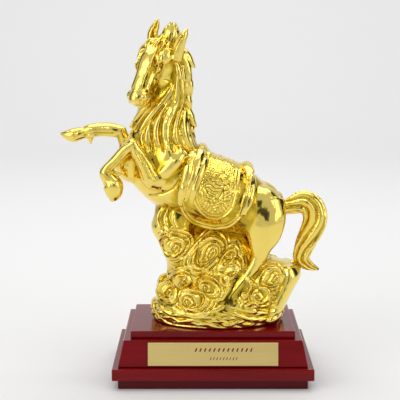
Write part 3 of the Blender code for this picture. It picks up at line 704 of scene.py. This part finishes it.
def cloth_rise(places):
    """Height of the saddle cloth, its rims and its carved panel over the horse's skin."""
    side_view = places[:, [0, 2]]
    cloth = outline_depth(side_view, CLOTH)
    panel = outline_depth(side_view, PANEL)
    rise = CLOTH_RISE * ramp(cloth / CLOTH_EDGE)
    x = places[:, 0]
    z = places[:, 2]
    low = np.where(x < 0, ramp((RIM_TOP_FRONT - z) / RIM_FADE), ramp((RIM_TOP_BACK - z) / RIM_FADE))
    rise += RIM_RISE * low * rims(cloth, CLOTH_RIMS)
    rise += PANEL_RISE * np.where(x < PANEL_FRONT, low, 1) * rims(panel, PANEL_RIMS)
    along = x * math.cos(FAN_SLOPE) - z * math.sin(FAN_SLOPE)
    up = x * math.sin(FAN_SLOPE) + z * math.cos(FAN_SLOPE)
    inside = ramp((panel - PANEL_INSET) / CARVING_EDGE)
    reach = np.hypot(x - MEDALLION[0], z - MEDALLION[1])
    medallion = ramp((MEDALLION_RADIUS - reach) / CARVING_EDGE)
    ring = bump((reach - MEDALLION_RADIUS) / 1.2)
    carving = medallion * STROKE_HEIGHT * stroke_pattern(x - MEDALLION[0], z - MEDALLION[1])
    carving += (1 - medallion) * fan_pattern(along, up)
    rise += CARVING_DEPTH * inside * (carving * (1 - ring) + RING_HEIGHT * ring)
    above = ramp((z - CLOTH_FLOOR) / 2)
    return rise * above * (cloth > 0)


def strand_grooves(places, line, width_share, reach, strands, twist, depth):
    """Fluting that runs along a thick lock, such as the tail."""
    run = smooth_run([(x, 0, z, half) for x, z, half in line], 6)
    centres = run[:, :3]
    tangents = np.gradient(centres, axis=0)
    tangents /= np.linalg.norm(tangents, axis=1)[:, None]
    lengths = np.concatenate([[0], np.cumsum(np.linalg.norm(np.diff(centres, axis=0), axis=1))])
    box = (places[:, 0] > centres[:, 0].min() - reach) & (places[:, 0] < centres[:, 0].max() + reach)
    box &= (places[:, 2] > centres[:, 2].min() - reach) & (places[:, 2] < centres[:, 2].max() + reach)
    rows = np.flatnonzero(box)
    gaps = np.linalg.norm(places[rows, None, :] - centres[None], axis=2) / run[None, :, 3]
    nearest = gaps.argmin(axis=1)
    offset = places[rows] - centres[nearest]
    tangent = tangents[nearest]
    lateral = np.cross(tangent, np.array(ACROSS))
    angle = np.arctan2(offset[:, 1] / width_share, np.einsum("ij,ij->i", offset, lateral))
    share = lengths[nearest] / lengths[-1]
    wave = np.cos(strands * (angle + twist * share))
    near = ramp((1.45 - gaps[np.arange(len(rows)), nearest]) / 0.2)
    ends = ramp(share / 0.12)
    change = np.zeros(len(places))
    change[rows] = -depth * near * ends * (0.5 - 0.5 * wave) ** 2
    return change


def vertex_arrays(item):
    mesh = item.data
    count = len(mesh.vertices)
    places = np.empty(count * 3, np.float32)
    mesh.vertices.foreach_get("co", places)
    normals = np.empty(count * 3, np.float32)
    mesh.vertices.foreach_get("normal", normals)
    return places.reshape(-1, 3).astype(float), normals.reshape(-1, 3)


def score(places, normals, path, seen, half, depth, reach=7.0):
    """A groove cut along a run of points, into what faces the way it is seen from."""
    longest = max((Vector(b) - Vector(a)).length for a, b in zip(path, path[1:]))
    run = smooth_run([(*point, 0.0, 0.0) for point in path], int(longest / SCORE_SPACING) + 2)[:, :3]
    look = np.array(seen, float)
    extent = np.abs(run - run.mean(axis=0)).max() + reach + half
    box = np.abs(places - run.mean(axis=0)).max(axis=1) < extent
    rows = np.flatnonzero(box & (normals @ look > 0.05))
    offset = places[rows, None, :] - run[None]
    along = offset @ look
    gap = np.sqrt(np.maximum((offset ** 2).sum(axis=2) - along ** 2, 0))
    gap[np.abs(along) > reach] = np.inf
    change = np.zeros(len(places))
    change[rows] = -depth * ramp(1.15 - gap.min(axis=1) / half)
    return change


def wave_relief(places, normals):
    """Spiral ridges on each curl of the rock, and arcs that spread from one curl to the next."""
    x = places[:, 0] + WARP * np.sin(places[:, 2] / 6.5 + places[:, 0] / 13.0)
    z = places[:, 2] + WARP * np.sin(places[:, 0] / 7.1 - places[:, 2] / 12.0)
    best = np.full(len(places), np.inf)
    ridge = np.zeros(len(places))
    for centre_x, centre_z, length, height, tilt, hand in CURLS:
        slant = math.radians(tilt)
        u = ((x - centre_x) * math.cos(slant) + (z - centre_z) * math.sin(slant)) / length
        v = ((z - centre_z) * math.cos(slant) - (x - centre_x) * math.sin(slant)) / height
        size = math.sqrt(length * height)
        gap = (np.hypot(u, v) - 1) * size
        inward = CURL_OFFSET * ramp(-gap / size)
        share = np.hypot(u - hand * inward, v + inward)
        angle = np.arctan2(v + inward, u - hand * inward) * hand
        spiral = 0.5 + 0.5 * np.cos(2 * math.pi * share * size / CURL_PITCH + angle)
        spread = 0.5 + 0.5 * np.cos(2 * math.pi * gap / ARC_PITCH)
        nearer = gap < best
        best = np.where(nearer, gap, best)
        inner = ramp((-gap) / 0.6)
        rim = bump((gap + 1.0) / 1.6)
        wave = inner * (CURL_DEPTH * spiral * ramp(share / 0.25) + CURL_DEPTH * 0.9 * rim)
        wave += (1 - inner) * ARC_DEPTH * spread * ramp((10 - gap) / 6)
        ridge = np.where(nearer, wave, ridge)
    side_view = places[:, [0, 2]]
    area = ramp(outline_depth(side_view, CARVED_ROCK) / 3.0)
    outward = ramp((np.abs(normals[:, 1]) - 0.15) / 0.3)
    for side in BOTH_SIDES:
        leg = np.array([HIND_LEG[row][:3] for row in CLEAR_LEG_ROWS]) * (1, side, 1)
        leg = np.vstack([leg[:-1] + (leg[1:] - leg[:-1]) * t for t in (0, 0.25, 0.5, 0.75)])
        gap = np.min([np.linalg.norm(places - point, axis=1) for point in leg], axis=0)
        area = area * ramp((gap - 6.5) / 2.5)
    x, z = places[:, 0], places[:, 2]
    around = 50 * np.arctan2(places[:, 1] / FOOT_HALF_DEPTH, (x - FOOT_CENTRE) / FOOT_REACH)
    phase = around / 24 + z / 7 + 0.55 * np.sin(around / 11.0)
    strand = 1 - np.abs(np.sin(math.pi * phase)) ** 0.8
    skirt = ramp((20 - z + 3 * np.sin(around / 12)) / 5) * ramp((z - 0.5) / 2) * ramp((70 - x) / 6)
    return ridge * area * outward * (1 - skirt) + SKIRT_DEPTH * skirt * strand * (np.abs(normals[:, 2]) < 0.9)


def head_grooves(places, normals):
    """Eye slits, brow hollows, the steps beside the nose bar, nostrils, mouth and jaw."""
    change = np.zeros(len(places))
    end_view = (NOSE * 0.9 + OUT * 0.44).normalized()
    for hand in BOTH_CHEEKS:
        cheek = CHEEK * hand
        front = (OUT * 0.75 + cheek * 0.66).normalized()
        lip_view = (cheek * 0.8 + NOSE * 0.6).normalized()
        lines = [([(24, 0.2, 8.2), (31, -0.6, 7.6), (41, -2.4, 6.8), (49, -3.4, 7.0)], front, 1.5, 0.9),
                 ([(25.4, -6, 11), (26.2, -3, 10), (29, -0.8, 9)], front, 1.2, 0.9),
                 ([(29, -5.6, 11), (32, -5.2, 11)], front, 0.9, 0.9),
                 ([(6, 1.0, 6.6), (13, 1.2, 7.6), (20, 0.8, 8.4)], front, 1.4, 0.9),
                 ([(25.5, -9, 12.4), (29, -10.4, 12), (33, -9, 11)], cheek, 0.9, 0.8),
                 ([(35, -12.5, 9), (38, -9.4, 8.6), (42, -12.6, 8.4)], cheek, 0.8, 0.5),
                 ([(33, -17, 10), (30, -24, 11), (24, -30, 11)], cheek, 1.3, 0.9),
                 ([(50, -15.8, 8), (57, -15, 7.6), (62, -14, 5)], lip_view, 1.0, 1.1),
                 ([(59.5, -6.8, 6.4), (61.5, -9, 5.8)], end_view, 1.5, 1.3)]
        for line, seen, half, depth in lines:
            path = [on_head(down, out, hand * across) for down, out, across in line]
            change += score(places, normals, path, seen, half, depth)
    muzzle_top = [on_head(53.5, -2, -6), on_head(54.5, 0, 0), on_head(53.5, -2, 6)]
    change += score(places, normals, muzzle_top, OUT, 1.2, 0.35)
    lips = [on_head(63, -14.4, -4), on_head(64, -14.4, 0), on_head(63, -14.4, 4)]
    change += score(places, normals, lips, NOSE, 1.0, 1.0)
    return change


EAR_HOLLOWS = [([(-54.4, 4, 249), (-55.2, 4, 258), (-52.4, 5, 267), (-50.2, 6, 272)], 1.6, 2.4),
               ([(-36.6, -16, 245), (-32.6, -18, 253), (-27, -17, 261)], 1.3, 2.0)]
NECK_LINES = [[(-36.5, 204), (-44, 193), (-46.6, 181), (-46.5, 170), (-44, 160)],
              [(-29, 222), (-28.6, 206), (-32.6, 193), (-37, 182), (-37.4, 170), (-35, 160)],
              [(-24.6, 220), (-24.4, 204), (-28.6, 190), (-30.6, 178), (-28.6, 167), (-23, 158)],
              [(-44, 200), (-52, 190), (-55, 183), (-54.6, 172), (-53, 160)],
              [(-52, 201), (-59, 193), (-65, 184), (-69, 177)]]
LEG_LINES = [([(-63, -31, 158), (-57, -30, 147), (-52, -29, 136)], 1.1, 0.9),
             ([(-67, -31, 160), (-61, -31, 149), (-56, -30, 138)], 0.9, 0.7),
             ([(-78, -31, 158.6), (-86, -31, 150), (-91, -31, 145)], 1.0, 0.7),
             ([(-92, -31, 136), (-87, -31, 134)], 1.0, 0.8),
             ([(-92, 17, 171.4), (-104, 17, 171.6), (-113, 17, 170.6), (-118, 17, 169.4)], 1.1, 0.9),
             ([(-126, 17, 171.6), (-127.6, 17, 166)], 1.0, 0.7),
             ([(-56, -22, 119.5), (-45, -26, 122), (-36, -28, 127), (-30, -28, 135)], 1.5, 1.2),
             ([(-47, -22, 104), (-48.5, -22, 97), (-44.5, -22, 88)], 1.2, 0.9)]


def fine_grooves(places, normals):
    """Ear hollows, the deep lines between the locks and the lines of the near foreleg."""
    change = head_grooves(places, normals)
    near = Vector((0.0, NEAR, 0.0))
    for path, half, depth in EAR_HOLLOWS + LEG_LINES:
        change += score(places, normals, path, near, half, depth)
    for side in BOTH_SIDES:
        for line in NECK_LINES:
            path = [(x, side * 17, z) for x, z in line]
            change += score(places, normals, path, Vector((0.0, side, 0.0)), 1.3, 1.5, reach=14.0)
    return change


def carve(item):
    """Sculpts the cloth, waves, locks and face by moving the skin along its normals."""
    places, normals = vertex_arrays(item)
    change = cloth_rise(places)
    change += strand_grooves(places, TAIL[1:], TAIL_WIDTH, reach=14, strands=7, twist=2.6, depth=2.3)
    change += wave_relief(places, normals)
    change += fine_grooves(places, normals)
    places += normals * change[:, None]
    item.data.vertices.foreach_set("co", places.astype(np.float32).ravel())
    item.data.update()


def note_recesses(item):
    """Stores how each point lies among its neighbours, from 0 on a ridge to 1 in a hollow, for the gold's
    painted shade in hollows and painted highlight on ridges.
    """
    mesh = item.data
    places, normals = vertex_arrays(item)
    edges = np.empty(len(mesh.edges) * 2, np.int32)
    mesh.edges.foreach_get("vertices", edges)
    start, end = edges.reshape(-1, 2).T
    count = len(places)
    share = np.bincount(start, minlength=count) + np.bincount(end, minlength=count)
    smooth = places.copy()
    for turn in range(RECESS_PASSES):
        for axis in range(3):
            total = np.bincount(start, smooth[end, axis], count)
            total += np.bincount(end, smooth[start, axis], count)
            smooth[:, axis] = total / share
    depth = ((smooth - places) * normals).sum(axis=1)
    values = 0.5 + 0.5 * np.clip(depth / RECESS_DEPTH, -1, 1)
    layer = mesh.attributes.new("recess", "FLOAT", "POINT")
    layer.data.foreach_set("value", values.astype(np.float32))


def cut_flat(item):
    """The casting stands on a flat cut foot."""
    pick(item)
    bpy.ops.object.mode_set(mode="EDIT")
    bpy.ops.mesh.select_all(action="SELECT")
    bpy.ops.mesh.bisect(plane_co=(0, 0, CUT_HEIGHT), plane_no=(0, 0, 1), use_fill=True, clear_inner=True)
    bpy.ops.mesh.select_all(action="SELECT")
    bpy.ops.transform.translate(value=(0, 0, -CUT_HEIGHT))
    bpy.ops.object.mode_set(mode="OBJECT")


def build_figure():
    body = joined(trunk_pieces(), "body")
    fused(body, BODY_VOXEL, BODY_SMOOTH)
    rock = joined(rock_pieces(), "rock")
    fused(rock, BODY_VOXEL, BODY_SMOOTH)
    stone = Skin(rock)
    rock = joined([rock] + boss_pieces(stone), "rock")
    fused(rock, BODY_VOXEL, LIMB_SMOOTH)
    body_skin = Skin(body)
    rock_skin = Skin(rock)
    ridges = hair_paths(body_skin) + roll_paths(body_skin) + foot_strands()
    for side in BOTH_SIDES:
        for sweep in SWEEPS:
            ridges.append(laid(rock_skin, sweep, side, sink=0.3))
    pieces = [body, rock, tubes(ridges), tail_piece()] + leg_pieces() + head_pieces() + crest_pieces()
    figure = joined(pieces, "horse_casting")
    fused(figure, FINE_VOXEL, FINE_SMOOTH)
    carve(figure)
    cut_flat(figure)
    faces = sum(len(face.vertices) - 2 for face in figure.data.polygons)
    applied(figure, "TRIANGULATE")
    if faces > FIGURE_TRIANGLES:
        applied(figure, "DECIMATE", ratio=FIGURE_TRIANGLES / faces)
    note_recesses(figure)
    figure.data.transform(Matrix.Translation((0, 0, FIGURE_BASE)) @ Matrix.Scale(MM, 4))
    pick(figure)
    bpy.ops.object.shade_smooth()
    return figure


# Marks on the plate in rows: (middle, height up the plate, count, spacing, half length, half width)
MARK_ROWS = [(9.5, 3.9, 13, 4.1, 1.5, 0.62), (9.5, -3.8, 9, 2.9, 1.2, 0.34)]
MARK_DEPTH = 0.12
MARK_LEAN = 0.45


def plate_frame():
    """Where the plate's front face lies: its middle, its upward run and its outward direction."""
    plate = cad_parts["plaque"]
    face = max(plate.data.polygons, key=lambda face: face.area * (face.normal.y < 0))
    faces = [other for other in plate.data.polygons if other.normal.dot(face.normal) > 0.999]
    corners = [plate.matrix_world @ plate.data.vertices[i].co for other in faces for i in other.vertices]
    middle = (Vector(map(min, zip(*corners))) + Vector(map(max, zip(*corners)))) / 2
    outward = face.normal.normalized()
    return middle, Vector((1, 0, 0)).cross(-outward).normalized(), outward


def plate_marks():
    """Rows of small raised slanting strokes that spell nothing."""
    middle, upward, outward = plate_frame()
    upward = upward if upward.z > 0 else -upward
    strokes = []
    for centre, height, count, spacing, half_length, half_width in MARK_ROWS:
        for i in range(count):
            x = centre + (i - (count - 1) / 2) * spacing
            lean = half_length * MARK_LEAN
            strokes.append([(x - lean, height - half_length, 0, half_width), (x, height + 0.2, 0, half_width),
                            (x + lean, height + half_length, 0, half_width)])
    marks = tubes(strokes)
    marks.name = "plate_marks"
    place = Matrix((Vector((1, 0, 0)), upward, outward)).transposed().to_4x4()
    place.translation = middle
    flat = Matrix.Diagonal((MM, MM, MM * MARK_DEPTH / 0.5, 1))
    marks.data.transform(place @ flat)
    return marks


# Finishes

def fill(node, inputs):
    """Sets a node's inputs by name, each to a value or to the output of another node."""
    for name, value in inputs.items():
        if isinstance(value, bpy.types.NodeSocket):
            node.id_data.links.new(value, node.inputs[name])
        else:
            node.inputs[name].default_value = value


def add(tree, kind, inputs):
    node = tree.nodes.new(kind)
    fill(node, inputs)
    return node


def new_material(name):
    material = bpy.data.materials.new(name)
    material.use_nodes = True
    return material, material.node_tree, material.node_tree.nodes["Principled BSDF"]


def noise(tree, place, scale, detail=2.0):
    return add(tree, "ShaderNodeTexNoise", {"Vector": place, "Scale": scale, "Detail": detail}).outputs["Fac"]


def spread(tree, value, low, high, start=0.0, end=1.0):
    """Values from start to end, spread from low to high."""
    return add(tree, "ShaderNodeMapRange", {"Value": value, "From Min": start, "From Max": end,
                                            "To Min": low, "To Max": high}).outputs["Result"]


def tones(tree, value, stops):
    """A colour ramp through (place, colour) stops."""
    node = add(tree, "ShaderNodeValToRGB", {"Fac": value})
    elements = node.color_ramp.elements
    for end, (place, colour) in ((0, stops[0]), (1, stops[-1])):
        elements[end].position = place
        elements[end].color = (*colour, 1)
    for place, colour in stops[1:-1]:
        elements.new(place).color = (*colour, 1)
    return node.outputs["Color"]


def relief(tree, height, strength, distance):
    return add(tree, "ShaderNodeBump", {"Height": height, "Strength": strength, "Distance": distance})


def gilt_glaze():
    """Mirror-bright gold over glazed ceramic, with a painted highlight that makes ridges paler and painted
    shade that darkens the hollows.
    """
    material, tree, shader = new_material("gilt_glaze")
    place = tree.nodes.new("ShaderNodeTexCoord").outputs["Object"]
    clouds = noise(tree, place, 60.0, 3.0)
    recess = tree.nodes.new("ShaderNodeAttribute")
    recess.attribute_name = "recess"
    # Painted shade and highlight: the recess value darkens the gold in hollows and makes it paler on ridges.
    tone = tones(tree, recess.outputs["Fac"], [(0.15, (0.95, 0.74, 0.17)), (0.5, (0.87, 0.60, 0.045)),
                                               (0.9, (0.50, 0.33, 0.010))])
    # The painted shade is mixed with a random cloudy tone of gold.
    painted_shade_and_clouds = tree.nodes.new("ShaderNodeMix")
    painted_shade_and_clouds.data_type = "RGBA"
    fill(painted_shade_and_clouds, {"Factor": spread(tree, clouds, 0.0, 0.3, 0.35, 0.75), "A": tone,
                  "B": (0.93, 0.69, 0.11, 1)})
    peel = relief(tree, noise(tree, place, 420.0), 0.12, 0.0004)
    unevenness = relief(tree, noise(tree, place, 75.0, 1.0), 0.5, 0.003)
    fill(unevenness, {"Normal": peel.outputs["Normal"]})
    fill(shader, {"Metallic": 1.0, "Coat Weight": 0.2, "Coat Roughness": 0.05,
                  "Base Color": painted_shade_and_clouds.outputs["Result"], "Roughness": spread(tree, clouds, 0.09, 0.18),
                  "Normal": unevenness.outputs["Normal"]})
    return material


def grain_group():
    """Noise drawn out into grain, which the lacquers and the brass share."""
    group = bpy.data.node_groups.new("grain", "ShaderNodeTree")
    group.interface.new_socket("Stretch", in_out="INPUT", socket_type="NodeSocketVector")
    group.interface.new_socket("Detail", in_out="INPUT", socket_type="NodeSocketFloat")
    group.interface.new_socket("Grain", in_out="OUTPUT", socket_type="NodeSocketFloat")
    given = group.nodes.new("NodeGroupInput")
    place = group.nodes.new("ShaderNodeTexCoord")
    stretched = add(group, "ShaderNodeMapping", {"Vector": place.outputs["Object"],
                                                 "Scale": given.outputs["Stretch"]})
    grain = noise(group, stretched.outputs["Vector"], 1.0, given.outputs["Detail"])
    add(group, "NodeGroupOutput", {"Grain": grain})
    return group


def add_grain(tree, group, stretch, detail):
    node = tree.nodes.new("ShaderNodeGroup")
    node.node_tree = group
    fill(node, {"Stretch": stretch, "Detail": detail})
    return node.outputs["Grain"]


def lacquer(name, group, dark, light, roughness):
    """Clear-coated lacquer on wood, with a faint grain under the coat."""
    material, tree, shader = new_material(name)
    grain = add_grain(tree, group, (9.0, 120.0, 120.0), 5.0)
    fill(shader, {"Specular IOR Level": 0.1, "Coat Roughness": 0.05, "Coat IOR": 1.22, "Coat Weight": 0.85,
                  "Base Color": tones(tree, grain, [(0.3, dark), (0.7, light)]),
                  "Roughness": spread(tree, grain, roughness, roughness + 0.08)})
    return material


def satin_brass(group):
    """Pale brass brushed along its length."""
    material, tree, shader = new_material("satin_brass")
    grain = add_grain(tree, group, (30.0, 2400.0, 2400.0), 3.0)
    fill(shader, {"Metallic": 1.0, "Roughness": spread(tree, grain, 0.30, 0.46),
                  "Base Color": tones(tree, grain, [(0.0, (0.80, 0.61, 0.22)), (1.0, (0.94, 0.75, 0.30))]),
                  "Normal": relief(tree, grain, 0.15, 0.0001).outputs["Normal"]})
    return material


def give(item, material):
    item.data.materials.clear()
    item.data.materials.append(material)


# Studio

FLOOR_SIZE = (6, 3, 1)
FLOOR_BACK = 1.4
COVE_RADIUS = 0.6
COVE_STEPS = 10
WALL_HEIGHT = 2.2
CENTRE = (0, 0, 0.17)
BACKDROP = (0, 1.9, 0.7)
# Lights, as (name, place, aim, width, height, power)
LAMPS = [("left_softbox", (-1.1, -0.85, 0.8), CENTRE, 0.8, 1.2, 4.2),
         ("right_softbox", (1.2, -0.6, 0.65), CENTRE, 0.5, 1.1, 2.0),
         ("key_lamp", (-0.45, -1.05, 1.0), CENTRE, 0.16, 0.16, 0.6),
         ("rim_lamp", (0.75, -0.85, 0.75), CENTRE, 0.08, 0.4, 0.45),
         ("top_softbox", (0, 0.1, 1.45), CENTRE, 1.6, 1.1, 7.1),
         ("backdrop_light", (0, 0.4, 1.7), BACKDROP, 2.4, 0.5, 13.8)]
# Black cards, as (name, place, width, height)
CARDS = [("left_card", (-1.35, 0.4, 0.75), 0.5, 1.5), ("right_card", (1.35, 0.3, 0.75), 0.75, 1.5),
         ("front_card", (0.2, -1.6, 0.7), 0.4, 1.0)]
CARD_AIM = (0, 0, 0.2)
WORLD_STRENGTH = 0.60


def plain(name, colour, roughness):
    material, tree, shader = new_material(name)
    fill(shader, {"Base Color": (*colour, 1), "Roughness": roughness})
    return material


def build_floor():
    """A pale floor that curves up into a backdrop."""
    deselect()
    bpy.ops.mesh.primitive_plane_add(size=1, location=(0, 0, 0))
    floor = bpy.context.object
    floor.name = "studio_floor"
    floor.scale = FLOOR_SIZE
    bpy.ops.object.transform_apply(location=True, rotation=True, scale=True)
    bpy.ops.object.mode_set(mode="EDIT")
    bpy.ops.mesh.select_all(action="DESELECT")
    bm = bmesh.from_edit_mesh(floor.data)
    for edge in bm.edges:
        edge.select = all(vert.co.y > FLOOR_BACK for vert in edge.verts)
    bmesh.update_edit_mesh(floor.data)
    for i in range(COVE_STEPS):
        a = math.pi / 2 * i / COVE_STEPS
        b = math.pi / 2 * (i + 1) / COVE_STEPS
        step = (0, COVE_RADIUS * (math.sin(b) - math.sin(a)), COVE_RADIUS * (math.cos(a) - math.cos(b)))
        bpy.ops.mesh.extrude_region_move(TRANSFORM_OT_translate={"value": step})
    bpy.ops.mesh.extrude_region_move(TRANSFORM_OT_translate={"value": (0, 0, WALL_HEIGHT)})
    bpy.ops.object.mode_set(mode="OBJECT")
    bpy.ops.object.shade_smooth()
    give(floor, plain("studio_paper", (0.84, 0.84, 0.84), 0.9))


def soft_box(name, place, aim, width, height, power):
    light = bpy.data.lights.new(name, "AREA")
    light.shape = "RECTANGLE"
    light.size = width
    light.size_y = height
    light.energy = power
    item = bpy.data.objects.new(name, light)
    item.location = place
    item.rotation_euler = (Vector(aim) - Vector(place)).to_track_quat("-Z", "Y").to_euler()
    bpy.context.collection.objects.link(item)


def dark_card(name, place, width, height, material):
    """A black card, out of the camera's sight, that the bright gilding mirrors as dark lines."""
    deselect()
    turn = (Vector(CARD_AIM) - Vector(place)).to_track_quat("Z", "Y").to_euler()
    bpy.ops.mesh.primitive_plane_add(size=1, location=place, rotation=turn)
    card = bpy.context.object
    card.name = name
    card.scale = (width, height, 1)
    give(card, material)


def build_studio():
    build_floor()
    for lamp in LAMPS:
        soft_box(*lamp)
    black = plain("black_card", (0.012, 0.012, 0.012), 0.8)
    for card in CARDS:
        dark_card(*card, black)
    world = bpy.context.scene.world or bpy.data.worlds.new("studio")
    bpy.context.scene.world = world
    world.use_nodes = True
    fill(world.node_tree.nodes["Background"], {"Color": (1, 1, 1, 1), "Strength": WORLD_STRENGTH})


def build_camera():
    data = bpy.data.cameras.new("camera")
    data.sensor_width = SENSOR
    data.lens = LENS
    camera = bpy.data.objects.new("camera", data)
    camera.location = CAMERA_PLACE
    camera.rotation_euler = (CAMERA_PITCH, 0, 0)
    bpy.context.collection.objects.link(camera)
    bpy.context.scene.camera = camera
    bpy.context.scene.view_settings.view_transform = "Standard"


def main():
    figure = build_figure()
    give(figure, gilt_glaze())
    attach(figure, "root")
    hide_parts("horse_on_waves")
    grain = grain_group()
    red = lacquer("lacquer_red", grain, (0.14, 0.0008, 0.002), (0.21, 0.0016, 0.005), 0.20)
    dark = lacquer("lacquer_dark", grain, (0.07, 0.0016, 0.003), (0.11, 0.003, 0.006), 0.28)
    for node in ("plinth_band", "plinth_body", "plinth_top"):
        give(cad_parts[node], red)
    give(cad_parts["plinth_foot"], dark)
    give(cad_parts["plaque"], satin_brass(grain))
    marks = plate_marks()
    give(marks, red)
    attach(marks, "root")
    build_studio()
    build_camera()


main()
